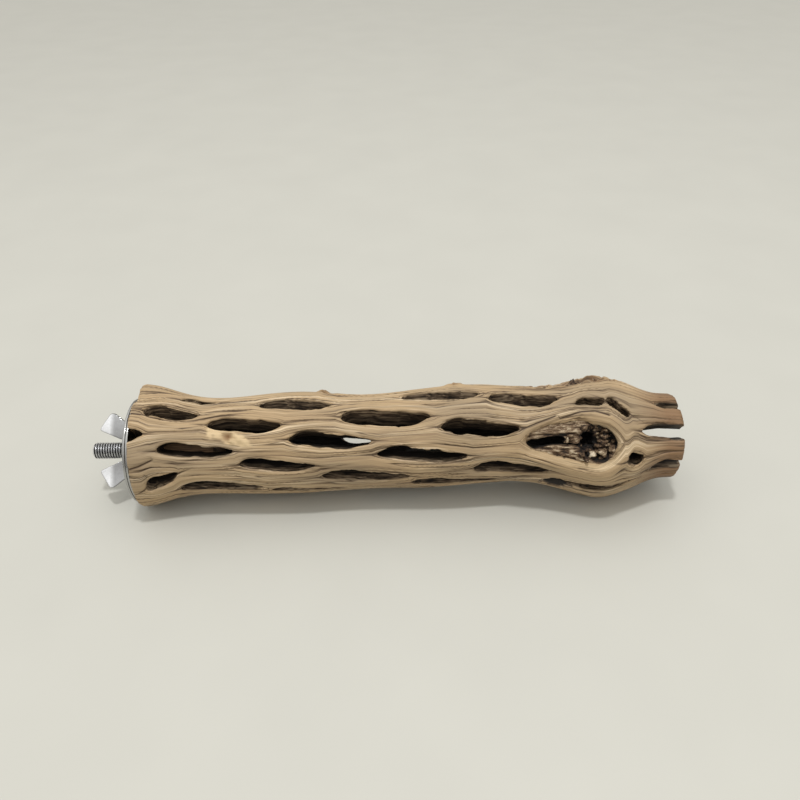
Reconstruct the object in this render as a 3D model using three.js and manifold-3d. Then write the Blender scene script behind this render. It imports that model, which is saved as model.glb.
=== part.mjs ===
// A bird perch made from a length of cholla cactus skeleton, lying on a table.
// The stem is one hollow, net-like piece of wood. Its eyes, the lens-shaped holes that the cactus's
// tubercles left, follow the golden-angle spiral in which the plant grew. A wooden plug in the sawn
// base holds a hanger bolt, and a wing nut and two wide washers on the bolt clamp the perch to a cage.
// Millimetres, +Z up. X runs along the stem from the sawn base to the tip, and -Y is the front.

import * as THREE from "three";
import { mergeVertices } from "three/addons/utils/BufferGeometryUtils.js";
import Module from "manifold-3d";

const wasm = await Module();
wasm.setup();

const DEGREE = Math.PI / 180;

// Stem: length, radius between its swellings, and the height of its centre line over the table
const STEM_LENGTH = 255;
const STEM_RADIUS = 23.7;
const STEM_HEIGHT = 27.3;
const HOLLOW_RADIUS = 12.3;
const HOLLOW_FOLLOWS = 0.25; // how far the hollow follows the stem's swellings

// Swellings: the flare at the sawn base, the knob where branches grew, and the taper to the tip
const FLARE = { rise: 5.4, reach: 18, flatTurn: 45 * DEGREE, flatReach: 62 * DEGREE, flatDrop: 2.9 };
const NOTCH = { drop: 3.9, turn: 100 * DEGREE, width: 12 * DEGREE, reach: 13 }; // in the rim of the flare
const KNOB = { at: 217.7, rise: 5.2, reachToBase: 20, reachToTip: 13 };
const TAPER = { drop: 3.2, from: 230, to: 248 };
const WAVES = { height: 0.6, length: 75, crest: 148 };

// The stem's slight bow: up and back near the knob, down and forward near the base
const BOW_TURN = 126 * DEGREE;
const BOWS = [
  { at: 164, shift: 2.3, reach: 30 },
  { at: 40, shift: -1, reach: 24 },
];

// Small knots that stand out of the skin
const KNOTS = [
  { along: 149.7, turn: 119 * DEGREE, rise: 1.6, reach: 4 },
  { along: 87.7, turn: 114 * DEGREE, rise: 1, reach: 4 },
  { along: 44.9, turn: 46 * DEGREE, rise: 0.8, reach: 5 },
];

// Eyes: one every EYE_STEP along the stem, each a golden angle round from the one before
const EYE_STEP = 5.05;
const EYE_ZERO = 92.2;
const EYE_ZERO_TURN = 42 * DEGREE;
const GOLDEN_ANGLE = -137.6 * DEGREE;
const FIRST_EYE = -23;
const LAST_EYE = 37;
const EYE_LENGTH = { mean: 36.5, spread: 3 };
const EYE_WIDTH = { mean: 7.6, spread: 0.8 };
const EYE_BASE_SHARE = 0.44; // share of an eye's length on the base side of its widest place
const EYE_SWAY = 0.8; // sideways S-bend of an eye's middle line
const EYE_TILT = -0.03; // sideways run per millimetre along the stem
const EYE_LIP = 2.6; // rounding of the wood round an eye
const CLOSED_RIM = 6; // the base has no eyes within this width, apart from OPEN_AT_BASE
const OPEN_AT_BASE = -21;
const SHORTEST_EYE = 10;
const OPEN_TIP = 10; // eyes that end this near to the tip are sawn open

// Eyes that lie off the spiral or differ in size, by their number on it
const EYE_CHANGES = {
  "-21": { along: 2, width: 9 },
  "-18": { turn: -3, width: 7.5, tilt: 0.45 },
  "-16": { along: 1.2, turn: -7 },
  "-13": { along: 3.3, length: 34.4, width: 5.8 },
  "-11": { along: -7.6, turn: -13, length: 17, width: 5 },
  "-10": { along: -1.8, length: 38.4 },
  "-9": { turn: 9 },
  "-8": { turn: -2, length: 33.5 },
  "-5": { turn: 2, length: 34.7, width: 5.8 },
  "-3": { along: -2.2, turn: -6, width: 7.6 },
  "-2": { along: -2, turn: 7, length: 36 },
  0: { along: -0.8, turn: -1.5, length: 37.6, width: 7 },
  3: { turn: 3, length: 40.7 },
  5: { along: -0.6, turn: -7, length: 41, width: 8.6 },
  8: { along: 0.8, length: 41, width: 6.6 },
  9: { turn: 7 },
  10: { turn: -9, length: 36.4, width: 7.8 },
  11: { along: 1.7, turn: 5, length: 42 },
  12: { turn: -8 },
  13: { along: 2, turn: -2 },
  16: { along: 1.6, turn: -2, length: 34, width: 6.8 },
  17: { along: -6, turn: 9 },
  18: { along: -2, turn: 2, length: 32, width: 8.4 },
  22: { along: -4, length: 28 },
  24: { along: -3.5, width: 5, tilt: 0.13 },
  25: { length: 26 },
  26: { along: -13.1, turn: 9, length: 12.5, width: 5.4 },
  28: { along: 4, length: 20 },
  29: { along: -8.6, turn: 3, length: 8.6, width: 7.6 },
  30: { along: 6, turn: -19 },
  31: { along: 10, turn: -14, length: 32, width: 6 },
  32: { along: 2, turn: 34, length: 34, width: 6.4 },
  34: { along: -4.5, turn: -2, length: 52, width: 7 },
};

// A second small eye beside number 26, behind a thin bridge of wood
const BRIDGED_EYE = { along: 221.5, turn: 67 * DEGREE, length: 10.6, width: 6.2, tilt: -0.6 };

// Branch scars: two eyes on the knob are wide open, with a raised collar and crumbled pith inside
const SCARS = {
  21: { along: 208.7, toBase: 27.5, toTip: 13, width: 19.5, turn: 33 * DEGREE },
  23: { along: 209.7, toBase: 22, toTip: 15, width: 15, turn: 121 * DEGREE },
};
const COLLAR = { rise: 2.4, offset: 4, reach: 4.5 };
const CRUMBS = { count: 18, radius: 2.5, ring: 0.93, depth: 7, arc: 250 * DEGREE };

// Rounding of the sawn ends
const BASE_LIP = 2.6;
const TIP_LIP = 2.6;

// The grid that the stem's wall is cut from
const STEPS_ALONG = 44;
const STEPS_ROUND = 46;
const SNAP = 0.9; // grid points this near to an eye's outline are moved onto it

// Hardware. The bolt stands off the stem's centre line, towards BOLT_TURN
const BOLT_OFFSET = 2.4;
const BOLT_TURN = -54 * DEGREE;
const GAP = 0.3; // clearance round the bolt and the plug
const SEAT = 0.1; // clearance between flat faces that bear on each other
const SOCKET_RADIUS = 13.8;
const SOCKET_DEPTH = 38;
const PLUG = { radius: 13.3, length: 36, sides: 40 };
const BOLT = { radius: 4, proud: 24.4, sunk: 30, sides: 10 };
const MACHINE_THREAD = { pitch: 1.25, depth: 0.7, samples: 3, chamfer: 1 };
const WOOD_THREAD = { pitch: 3.5, depth: 1.1, samples: 3, point: 6 };
const WASHER = { radius: 25, hole: 4.4, thickness: 1.2, edge: 0.25, sides: 36 };
const NUT = { base: 7.8, top: 6.3, height: 7, bore: 4.3, sides: 28 };
const WING = { thickness: 2, bevel: 0.35, turn: 54 * DEGREE, bend: 0.012, bendFrom: 6 };
const WOOD_COLOUR = 0xb3966d;
const PLUG_COLOUR = 0xc9a877;
const STEEL_COLOUR = 0xc6c8cc;

const between = (x, low, high) => Math.min(high, Math.max(low, x));
const bell = (x, reach) => Math.exp(-((x / reach) ** 2));
const wrap = (turn) => turn - 2 * Math.PI * Math.round(turn / (2 * Math.PI));

// A smooth step from 0 to 1 between two places.
function ramp(x, from, to) {
  const t = between((x - from) / (to - from), 0, 1);
  return t * t * (3 - 2 * t);
}

// How far a quarter-round edge has dropped at a distance from its brink.
function roundedDrop(distance, radius) {
  const inward = radius - between(distance, 0, radius);
  return radius - Math.sqrt(radius * radius - inward * inward);
}

// Radius of the stem's skin before its eyes are opened. Turn 0 is the front, and a quarter turn is up.
function skinRadius(along, turn) {
  const flat = FLARE.flatDrop * bell(wrap(turn - FLARE.flatTurn) ** 2, FLARE.flatReach ** 2);
  const notch = NOTCH.drop * bell(wrap(turn - NOTCH.turn), NOTCH.width) * bell(along, NOTCH.reach);
  const flare = (FLARE.rise - flat) * bell(along, FLARE.reach) - notch;
  const fromKnob = along - KNOB.at;
  const knob = KNOB.rise * bell(fromKnob, fromKnob < 0 ? KNOB.reachToBase : KNOB.reachToTip);
  const taper = TAPER.drop * ramp(along, TAPER.from, TAPER.to);
  const wave = WAVES.height * Math.cos((2 * Math.PI * (along - WAVES.crest)) / WAVES.length);
  const shift = BOWS.reduce((sum, bow) => sum + bow.shift * bell(along - bow.at, bow.reach), 0);
  const knots = KNOTS.reduce((sum, knot) => {
    const away = Math.hypot(along - knot.along, STEM_RADIUS * wrap(turn - knot.turn));
    return sum + knot.rise * bell(away, knot.reach);
  }, 0);
  return STEM_RADIUS + flare + knob - taper + wave + knots + shift * Math.cos(turn - BOW_TURN);
}

// One eye as two half ellipses that share their widest place.
function makeEye(along, turn, toBase, toTip, width, tilt = EYE_TILT) {
  return { along, turn, toBase, toTip, half: width / 2, tilt, radius: skinRadius(along, turn) };
}

// An eye of the spiral, or null where the closed rim of the base leaves no room for it.
function spiralEye(number) {
  const scar = SCARS[number];
  if (scar) return makeEye(scar.along, scar.turn, scar.toBase, scar.toTip, scar.width);
  const change = EYE_CHANGES[number] ?? {};
  const along = EYE_ZERO + EYE_STEP * number + (change.along ?? 0);
  const turn = EYE_ZERO_TURN + GOLDEN_ANGLE * number + (change.turn ?? 0) * DEGREE;
  const length = change.length ?? EYE_LENGTH.mean + EYE_LENGTH.spread * Math.sin(2.4 * number);
  const width = change.width ?? EYE_WIDTH.mean + EYE_WIDTH.spread * Math.sin(1.7 * number);
  let base = along - length / 2;
  let tip = along + length / 2;
  if (number !== OPEN_AT_BASE) base = Math.max(base, CLOSED_RIM);
  if (tip > STEM_LENGTH - OPEN_TIP) tip = Math.max(tip, STEM_LENGTH + OPEN_TIP);
  if (tip - base < SHORTEST_EYE && !change.length) return null;
  const widest = base + (tip - base) * EYE_BASE_SHARE;
  return makeEye(widest, turn, widest - base, tip - widest, width, change.tilt);
}

// All the eyes, with the scars marked.
function makeEyes() {
  const eyes = [];
  for (let number = FIRST_EYE; number <= LAST_EYE; number++) {
    const eye = spiralEye(number);
    if (eye) eyes.push({ ...eye, scar: number in SCARS });
  }
  const { along, turn, length, width, tilt } = BRIDGED_EYE;
  eyes.push({ ...makeEye(along, turn, length / 2, length / 2, width, tilt), scar: false });
  return eyes;
}

const eyes = makeEyes();

// Distance over the skin from a place to an eye's outline, negative inside the eye.
function distanceToEye(eye, along, turn) {
  const run = along - eye.along;
  const reach = run < 0 ? eye.toBase : eye.toTip;
  const sway = EYE_SWAY * Math.sin(Math.PI * between(run / reach, -1, 1));
  const side = eye.radius * wrap(turn - eye.turn) - eye.tilt * run + sway;
  const level = Math.hypot(run / reach, side / eye.half);
  if (level < 1e-6) return -eye.half;
  const slope = Math.hypot(run / reach ** 2, side / eye.half ** 2) / level;
  return (level - 1) / slope;
}

// Distance to the nearest outline among the eyes.
const distanceToEyes = (along, turn) =>
  eyes.reduce((least, eye) => Math.min(least, distanceToEye(eye, along, turn)), Infinity);

// Height that the collars of the branch scars add to the skin.
const collarHeight = (along, turn) =>
  eyes
    .filter((eye) => eye.scar)
    .reduce((sum, eye) => {
      const distance = distanceToEye(eye, along, turn);
      return sum + COLLAR.rise * bell(distance - COLLAR.offset, COLLAR.reach);
    }, 0);

// Outer radius of the wood, with its edges rounded towards the eyes and the sawn ends.
function outerRadius(along, turn, distance) {
  const edges =
    roundedDrop(distance, EYE_LIP) +
    roundedDrop(along, BASE_LIP) +
    roundedDrop(STEM_LENGTH - along, TIP_LIP);
  return skinRadius(along, turn) + collarHeight(along, turn) - edges;
}

// Inner radius of the wood: the socket bored for the plug, and the natural hollow beyond it.
function innerRadius(along, turn) {
  const off = turn - BOLT_TURN;
  const socket =
    BOLT_OFFSET * Math.cos(off) + Math.sqrt(SOCKET_RADIUS ** 2 - (BOLT_OFFSET * Math.sin(off)) ** 2);
  const hollow = HOLLOW_RADIUS + HOLLOW_FOLLOWS * (skinRadius(along, turn) - STEM_RADIUS);
  return THREE.MathUtils.lerp(socket, hollow, ramp(along, SOCKET_DEPTH, SOCKET_DEPTH + 12));
}

// A place on the stem at a radius, no lower than the table: low places become flat spots.
function stemPoint(along, turn, radius) {
  const height = STEM_HEIGHT + radius * Math.sin(turn);
  return new THREE.Vector3(along, -radius * Math.cos(turn), Math.max(height, 0));
}

// Moves a grid point that is near an eye's outline onto it. Points at the ends keep their place along.
function snapToOutline(point, atEnd) {
  for (let round = 0; round < 4; round++) {
    const step = 0.05;
    const here = distanceToEyes(point.along, point.turn);
    const turnStep = step / STEM_RADIUS;
    const slopeAlong = atEnd ? 0 : (distanceToEyes(point.along + step, point.turn) - here) / step;
    const slopeRound = (distanceToEyes(point.along, point.turn + turnStep) - here) / step;
    const steepness = slopeAlong ** 2 + slopeRound ** 2;
    if (steepness < 1e-3) return;
    point.along -= (here * slopeAlong) / steepness;
    point.turn -= (here * slopeRound) / steepness / STEM_RADIUS;
  }
  point.distance = 0;
}

// The unrolled wall of the stem as a triangle grid, with the eyes cut out of it.
function cutSheet() {
  const points = [];
  for (let i = 0; i <= STEPS_ALONG; i++) {
    for (let j = 0; j < STEPS_ROUND; j++) {
      const along = (STEM_LENGTH * i) / STEPS_ALONG;
      const turn = (2 * Math.PI * (j + (i % 2) / 2)) / STEPS_ROUND;
      const point = { along, turn, distance: distanceToEyes(along, turn) };
      if (Math.abs(point.distance) < SNAP) snapToOutline(point, i === 0 || i === STEPS_ALONG);
      points.push(point);
    }
  }
  const at = (i, j) => i * STEPS_ROUND + (j % STEPS_ROUND);
  const crossings = new Map();

  // The place between two grid points where an eye's outline runs.
  function crossing(a, b) {
    const key = a < b ? `${a},${b}` : `${b},${a}`;
    if (!crossings.has(key)) {
      const [inside, outside] = points[a].distance > 0 ? [points[a], points[b]] : [points[b], points[a]];
      const span = wrap(outside.turn - inside.turn);
      const place = (t) => [
        THREE.MathUtils.lerp(inside.along, outside.along, t),
        inside.turn + span * t,
      ];
      let [low, high] = [0, 1];
      for (let round = 0; round < 12; round++) {
        const middle = (low + high) / 2;
        if (distanceToEyes(...place(middle)) > 0) low = middle;
        else high = middle;
      }
      const [along, turn] = place(low);
      crossings.set(key, points.push({ along, turn, distance: 0 }) - 1);
    }
    return crossings.get(key);
  }

  const triangles = [];
  function keepWood(corners) {
    if (!corners.some((c) => points[c].distance > 0)) return;
    const polygon = [];
    corners.forEach((a, n) => {
      const b = corners[(n + 1) % 3];
      if (points[a].distance >= 0) polygon.push(a);
      if (points[a].distance * points[b].distance < 0) polygon.push(crossing(a, b));
    });
    for (let n = 1; n + 1 < polygon.length; n++) {
      triangles.push([polygon[0], polygon[n], polygon[n + 1]]);
    }
  }

  for (let i = 0; i < STEPS_ALONG; i++) {
    for (let j = 0; j < STEPS_ROUND; j++) {
      if (i % 2 === 0) {
        keepWood([at(i, j), at(i + 1, j), at(i, j + 1)]);
        keepWood([at(i + 1, j), at(i + 1, j + 1), at(i, j + 1)]);
      } else {
        keepWood([at(i, j), at(i + 1, j), at(i + 1, j + 1)]);
        keepWood([at(i, j), at(i + 1, j + 1), at(i, j + 1)]);
      }
    }
  }
  return { points, triangles };
}

// A closed geometry from points and triangles.
function closedGeometry(points, triangles) {
  const geometry = new THREE.BufferGeometry();
  geometry.setFromPoints(points);
  geometry.setIndex(triangles.flat());
  return geometry;
}

// The stem's wall: an outer and an inner sheet, joined round every eye and at both ends.
function stemWall() {
  const { points, triangles } = cutSheet();
  const count = points.length;
  const outer = points.map(({ along, turn, distance }) =>
    stemPoint(along, turn, outerRadius(along, turn, distance)),
  );
  const inner = points.map(({ along, turn }) => stemPoint(along, turn, innerRadius(along, turn)));
  const faces = [];
  const edges = new Set();
  for (const [a, b, c] of triangles) {
    faces.push([a, b, c], [count + a, count + c, count + b]);
    for (const [from, to] of [[a, b], [b, c], [c, a]]) edges.add(`${from},${to}`);
  }
  for (const edge of edges) {
    const [a, b] = edge.split(",").map(Number);
    if (edges.has(`${b},${a}`)) continue;
    faces.push([b, a, count + a], [b, count + a, count + b]);
  }
  return closedGeometry([...outer, ...inner], faces);
}

// A geometry as a solid that can be joined and cut.
function toSolid(geometry) {
  const bare = new THREE.BufferGeometry().setAttribute("position", geometry.getAttribute("position"));
  if (geometry.index) bare.setIndex(geometry.index);
  const merged = mergeVertices(bare, 1e-4);
  return new wasm.Manifold(
    new wasm.Mesh({
      numProp: 3,
      vertProperties: new Float32Array(merged.attributes.position.array),
      triVerts: new Uint32Array(merged.index.array),
    }),
  );
}

// A solid as a geometry.
function toGeometry(solid) {
  const mesh = solid.getMesh();
  const geometry = new THREE.BufferGeometry();
  geometry.setAttribute("position", new THREE.BufferAttribute(mesh.vertProperties, mesh.numProp));
  geometry.setIndex(new THREE.BufferAttribute(mesh.triVerts, 1));
  return geometry;
}

// Crumbs of dried pith, rooted in the wall of a branch scar.
function scarCrumbs(scar) {
  const crumbs = [];
  for (let n = 0; n < CRUMBS.count; n++) {
    const way = CRUMBS.arc * (n / (CRUMBS.count - 1) - 0.5);
    const reach = Math.cos(way) < 0 ? scar.toBase : scar.toTip;
    const along = scar.along + CRUMBS.ring * reach * Math.cos(way);
    const turn = scar.turn + (CRUMBS.ring * scar.half * Math.sin(way)) / scar.radius;
    const crumb = new THREE.IcosahedronGeometry(CRUMBS.radius * (1 + 0.25 * Math.sin(5 * n)), 0);
    crumb.rotateX(n).rotateY(2 * n);
    const place = stemPoint(along, turn, scar.radius - CRUMBS.depth - 2.5 * Math.sin(3 * n));
    crumbs.push(toSolid(crumb.translate(...place)));
  }
  return crumbs;
}

// The whole skeleton: the wall with the crumbs of its scars grown on.
function stemGeometry() {
  let stem = toSolid(stemWall());
  for (const scar of eyes.filter((eye) => eye.scar)) {
    for (const crumb of scarCrumbs(scar)) stem = stem.add(crumb);
  }
  const largest = stem.decompose().reduce((a, b) => (a.volume() > b.volume() ? a : b));
  return toGeometry(largest);
}

// A turned piece: a profile of [along, radius] pairs spun round the X axis, its outside running to +X.
// The profile starts and ends on the axis, or is closed into a ring.
function turned(profile, sides) {
  const onAxis = profile[0][1] === 0;
  const outline = onAxis ? profile : [...profile, profile[0]];
  const points = outline.map(([along, radius]) => new THREE.Vector2(radius, along));
  return new THREE.LatheGeometry(points, sides).rotateZ(-Math.PI / 2);
}

// Height of a thread's flank over its root, for a place along it counted in turns.
const threadFlank = (turns) => 1 - Math.abs(2 * (turns - Math.floor(turns)) - 1);

// The hanger bolt: a machine thread outside the stem and a pointed wood thread in the plug.
function boltGeometry() {
  const places = [];
  const machineStep = MACHINE_THREAD.pitch / MACHINE_THREAD.samples;
  for (let x = -BOLT.proud; x < 0; x += machineStep) places.push(x);
  const woodStep = WOOD_THREAD.pitch / WOOD_THREAD.samples;
  for (let x = 0; x < BOLT.sunk; x += woodStep) places.push(x);

  function radiusAt(x, share) {
    if (x < 0) {
      const chamfer = MACHINE_THREAD.chamfer - between(x + BOLT.proud, 0, MACHINE_THREAD.chamfer);
      const root = MACHINE_THREAD.depth * (1 - threadFlank(x / MACHINE_THREAD.pitch + share));
      return BOLT.radius - Math.max(chamfer, root);
    }
    const point = between((BOLT.sunk - x) / WOOD_THREAD.point, 0.05, 1);
    const root = WOOD_THREAD.depth * (1 - threadFlank(x / WOOD_THREAD.pitch + share));
    return (BOLT.radius - root) * point;
  }

  const points = [new THREE.Vector3(-BOLT.proud, 0, 0), new THREE.Vector3(BOLT.sunk, 0, 0)];
  for (const x of places) {
    for (let side = 0; side < BOLT.sides; side++) {
      const share = side / BOLT.sides;
      const radius = radiusAt(x, share);
      const angle = 2 * Math.PI * share;
      points.push(new THREE.Vector3(x, -radius * Math.cos(angle), radius * Math.sin(angle)));
    }
  }
  const at = (ring, side) => 2 + ring * BOLT.sides + (side % BOLT.sides);
  const last = places.length - 1;
  const faces = [];
  for (let side = 0; side < BOLT.sides; side++) {
    faces.push([0, at(0, side), at(0, side + 1)], [1, at(last, side + 1), at(last, side)]);
    for (let ring = 0; ring < last; ring++) {
      faces.push([at(ring, side), at(ring + 1, side), at(ring + 1, side + 1)]);
      faces.push([at(ring, side), at(ring + 1, side + 1), at(ring, side + 1)]);
    }
  }
  return closedGeometry(points, faces);
}

// The dowel that fills the bored base, with a blind hole for the bolt.
function plugGeometry() {
  const { radius, length, sides } = PLUG;
  const hole = BOLT.radius + GAP;
  const bottom = BOLT.sunk + GAP;
  const profile = [[bottom, 0], [bottom, hole], [0, hole], [0, radius], [length, radius], [length, 0]];
  return turned(profile, sides);
}

// A wide flat washer, from its face on the stem's side outwards.
function washerGeometry() {
  const { radius, hole, thickness, edge, sides } = WASHER;
  return turned(
    [
      [-thickness, hole],
      [-thickness, radius - edge],
      [edge - thickness, radius],
      [-edge, radius],
      [0, radius - edge],
      [0, hole],
    ],
    sides,
  );
}

// One wing's outline, as distance out from the nut's foot and distance from the bolt.
function wingOutline() {
  const outline = new THREE.Shape();
  outline.moveTo(1.5, 5.6);
  outline.quadraticCurveTo(4, 12.5, 8.3, 14.8);
  outline.lineTo(11.3, 17.2);
  outline.quadraticCurveTo(13.5, 18.8, 14.7, 16.9);
  outline.lineTo(18.4, 11.2);
  outline.quadraticCurveTo(19.2, 9.8, 17.7, 9.2);
  outline.lineTo(8.8, 5.2);
  outline.closePath();
  return outline;
}

// Bends a wing back, more the further it is from the bolt.
function bendWing(wing) {
  const places = wing.attributes.position;
  for (let i = 0; i < places.count; i += 1) {
    const past = Math.max(0, places.getY(i) - WING.bendFrom);
    places.setZ(i, places.getZ(i) - WING.bend * past ** 2);
  }
}

// The wing nut: a tapered hub with two wings and the bolt's hole, its foot at 0, standing towards -X.
function nutGeometry() {
  const { base, top, height, bore, sides } = NUT;
  const hub = toSolid(turned([[-height, 0], [-height, top], [0, base], [0, 0]], sides));
  const hole = toSolid(turned([[-height - 1, 0], [-height - 1, bore], [1, bore], [1, 0]], sides));
  const settings = {
    depth: WING.thickness - 2 * WING.bevel,
    bevelThickness: WING.bevel,
    bevelSize: WING.bevel,
    bevelOffset: -WING.bevel,
    bevelSegments: 1,
    curveSegments: 5,
  };
  const wing = new THREE.ExtrudeGeometry(wingOutline(), settings);
  wing.translate(0, 0, WING.bevel - WING.thickness / 2).rotateY(Math.PI);
  bendWing(wing);
  const upper = toSolid(wing);
  const lower = toSolid(wing.clone().rotateX(Math.PI));
  return toGeometry(hub.add(upper).add(lower).subtract(hole));
}

// A named sub-part with its own material.
function piece(name, geometry, color, roughness, metalness) {
  const mesh = new THREE.Mesh(geometry, new THREE.MeshStandardMaterial({ color, roughness, metalness }));
  mesh.name = name;
  return mesh;
}

const steel = (name, geometry) => piece(name, geometry, STEEL_COLOUR, 0.3, 1);

// Everything on the bolt's line, along X from the stem's base.
const hardware = new THREE.Group();
hardware.position.copy(stemPoint(0, BOLT_TURN, BOLT_OFFSET));
const plug = piece("base_plug", plugGeometry(), PLUG_COLOUR, 0.8, 0);
const bolt = steel("hanger_bolt", boltGeometry());
const innerWasher = steel("inner_washer", washerGeometry());
const outerWasher = steel("outer_washer", washerGeometry());
const nut = steel("wing_nut", nutGeometry());
innerWasher.position.x = -SEAT;
outerWasher.position.x = innerWasher.position.x - WASHER.thickness - SEAT;
nut.position.x = outerWasher.position.x - WASHER.thickness - SEAT;
nut.rotation.x = WING.turn;
hardware.add(plug, bolt, innerWasher, outerWasher, nut);

const stem = piece("cholla_stem", stemGeometry(), WOOD_COLOUR, 0.85, 0);

// The perch stands with the middle of its box over the origin.
const perch = new THREE.Group();
perch.add(stem, hardware);
const middle = new THREE.Box3().setFromObject(perch, true).getCenter(new THREE.Vector3());
perch.position.set(-middle.x, -middle.y, 0);

const part = new THREE.Group();
part.add(perch);

export default part;
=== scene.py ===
"""Looks of a cholla wood bird perch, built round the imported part.

The stem is cut from an unrolled sheet of wood by the rules of the part's own source, on a finer grid,
with the grain laid round the eyes. The hardware is remade with fine threads and rounded edges.
Shapes are worked out in millimetres along the stem and turned into metres when a mesh is made.
"""

import math
from collections import namedtuple

import bmesh
import bpy
import numpy as np
from bpy.props import FloatProperty, FloatVectorProperty, IntProperty, PointerProperty
from mathutils import Matrix, Vector


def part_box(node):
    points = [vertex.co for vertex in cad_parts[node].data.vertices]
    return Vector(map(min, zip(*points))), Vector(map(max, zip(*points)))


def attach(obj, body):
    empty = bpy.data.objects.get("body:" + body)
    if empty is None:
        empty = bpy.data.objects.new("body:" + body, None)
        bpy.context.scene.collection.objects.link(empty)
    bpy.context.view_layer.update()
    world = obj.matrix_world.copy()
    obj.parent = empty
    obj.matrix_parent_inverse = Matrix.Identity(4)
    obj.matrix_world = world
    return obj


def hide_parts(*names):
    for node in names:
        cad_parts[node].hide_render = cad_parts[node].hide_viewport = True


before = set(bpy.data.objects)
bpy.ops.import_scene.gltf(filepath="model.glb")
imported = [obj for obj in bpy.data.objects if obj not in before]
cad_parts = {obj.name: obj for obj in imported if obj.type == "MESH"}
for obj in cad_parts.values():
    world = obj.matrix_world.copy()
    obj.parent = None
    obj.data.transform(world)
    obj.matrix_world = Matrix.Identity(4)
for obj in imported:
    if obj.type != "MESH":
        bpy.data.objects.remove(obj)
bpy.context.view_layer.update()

bl_info = {
    "name": "Cholla wood perch",
    "version": (1, 0, 0),
    "blender": (4, 5, 0),
    "location": "3D View > Sidebar > Cholla perch",
    "description": "Dresses the packed perch with grain, crumbled pith, threads and a studio stage",
    "category": "Object",
}

MM = 0.001
FULL_TURN = 2 * math.pi

# Stem, in millimetres: the same rules as the part's source
STEM_LENGTH = 255
STEM_RADIUS = 23.7
HOLLOW_RADIUS = 12.3
HOLLOW_FOLLOWS = 0.25
FLARE = {
    "rise": 5.4,
    "reach": 18,
    "flat_turn": math.radians(45),
    "flat_reach": math.radians(62),
    "flat_drop": 2.9,
}
NOTCH = {"drop": 3.9, "turn": math.radians(100), "width": math.radians(12), "reach": 13}
KNOB = {"at": 217.7, "rise": 5.2, "to_base": 20, "to_tip": 13}
TAPER = {"drop": 3.2, "start": 230, "end": 248}
WAVES = {"height": 0.6, "length": 75, "crest": 148}
BOW_TURN = math.radians(126)
BOWS = ({"at": 164, "shift": 2.3, "reach": 30}, {"at": 40, "shift": -1, "reach": 24})
KNOTS = (
    {"along": 149.7, "turn": math.radians(119), "rise": 1.6, "reach": 4},
    {"along": 87.7, "turn": math.radians(114), "rise": 1, "reach": 4},
    {"along": 44.9, "turn": math.radians(46), "rise": 0.8, "reach": 5},
)

# Eyes: one every EYE_STEP along the stem, each a golden angle round from the one before
EYE_STEP = 5.05
EYE_ZERO = 92.2
EYE_ZERO_TURN = math.radians(42)
GOLDEN_ANGLE = math.radians(-137.6)
FIRST_EYE = -23
LAST_EYE = 37
EYE_LENGTH = {"mean": 36.5, "spread": 3, "rate": 2.4}
EYE_WIDTH = {"mean": 7.6, "spread": 0.8, "rate": 1.7}
EYE_BASE_SHARE = 0.44
EYE_SWAY = 0.8
EYE_TILT = -0.03
CLOSED_RIM = 6
OPEN_AT_BASE = -21
SHORTEST_EYE = 10
OPEN_TIP = 10
EYE_CHANGES = {
    -21: {"along": 2, "width": 9},
    -18: {"turn": -3, "width": 7.5, "tilt": 0.45},
    -16: {"along": 1.2, "turn": -7},
    -13: {"along": 3.3, "length": 34.4, "width": 5.8},
    -11: {"along": -7.6, "turn": -13, "length": 17, "width": 5},
    -10: {"along": -1.8, "length": 38.4},
    -9: {"turn": 9},
    -8: {"turn": -2, "length": 33.5},
    -5: {"turn": 2, "length": 34.7, "width": 5.8},
    -4: {"turn": 4},
    -3: {"along": -2.2, "turn": -6, "width": 7.6},
    -2: {"along": -2, "turn": 7, "length": 36},
    0: {"along": -0.8, "turn": -1.5, "length": 37.6, "width": 7},
    3: {"turn": 3, "length": 40.7},
    5: {"along": -0.6, "turn": -7, "length": 41, "width": 8.6},
    8: {"along": 0.8, "length": 41, "width": 6.6},
    9: {"turn": 7},
    10: {"turn": -9, "length": 36.4, "width": 7.8},
    11: {"along": 1.7, "turn": 5, "length": 42},
    12: {"turn": -8},
    13: {"along": 2, "turn": -2},
    16: {"along": 1.6, "turn": -2, "length": 34, "width": 6.8},
    17: {"along": -9, "turn": 11},
    18: {"along": -2, "turn": 2, "length": 32, "width": 8.4},
    22: {"along": -4, "length": 28},
    24: {"along": -3.5, "width": 5, "tilt": 0.13},
    25: {"length": 26},
    26: {"along": -13.1, "turn": 9, "length": 12.5, "width": 5.4},
    28: {"along": 4, "length": 20},
    29: {"along": -8.6, "turn": 3, "length": 8.6, "width": 7.6},
    30: {"along": 6, "turn": -19},
    31: {"along": 10, "turn": -14, "length": 32, "width": 6},
    32: {"along": 2, "turn": 34, "length": 34, "width": 6.4},
    34: {"along": -4.5, "turn": -2, "length": 52, "width": 7},
}
BRIDGED_EYE = {
    "along": 222.6,
    "turn": math.radians(67),
    "to_base": 5,
    "to_tip": 5,
    "width": 6.2,
    "tilt": -0.6,
}
MAIN_SCAR = 21
BROKEN_SCAR = 23
SCARS = {
    MAIN_SCAR: {"along": 208.7, "to_base": 27.5, "to_tip": 13, "width": 19.5, "turn": math.radians(33)},
    BROKEN_SCAR: {"along": 209.7, "to_base": 22, "to_tip": 15, "width": 15, "turn": math.radians(121)},
}
# Height of the collar round each scar, and where it lies
COLLAR_RISE = {MAIN_SCAR: 2.4, BROKEN_SCAR: 0.2}
COLLAR = {"offset": 4, "reach": 4.5}

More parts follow.
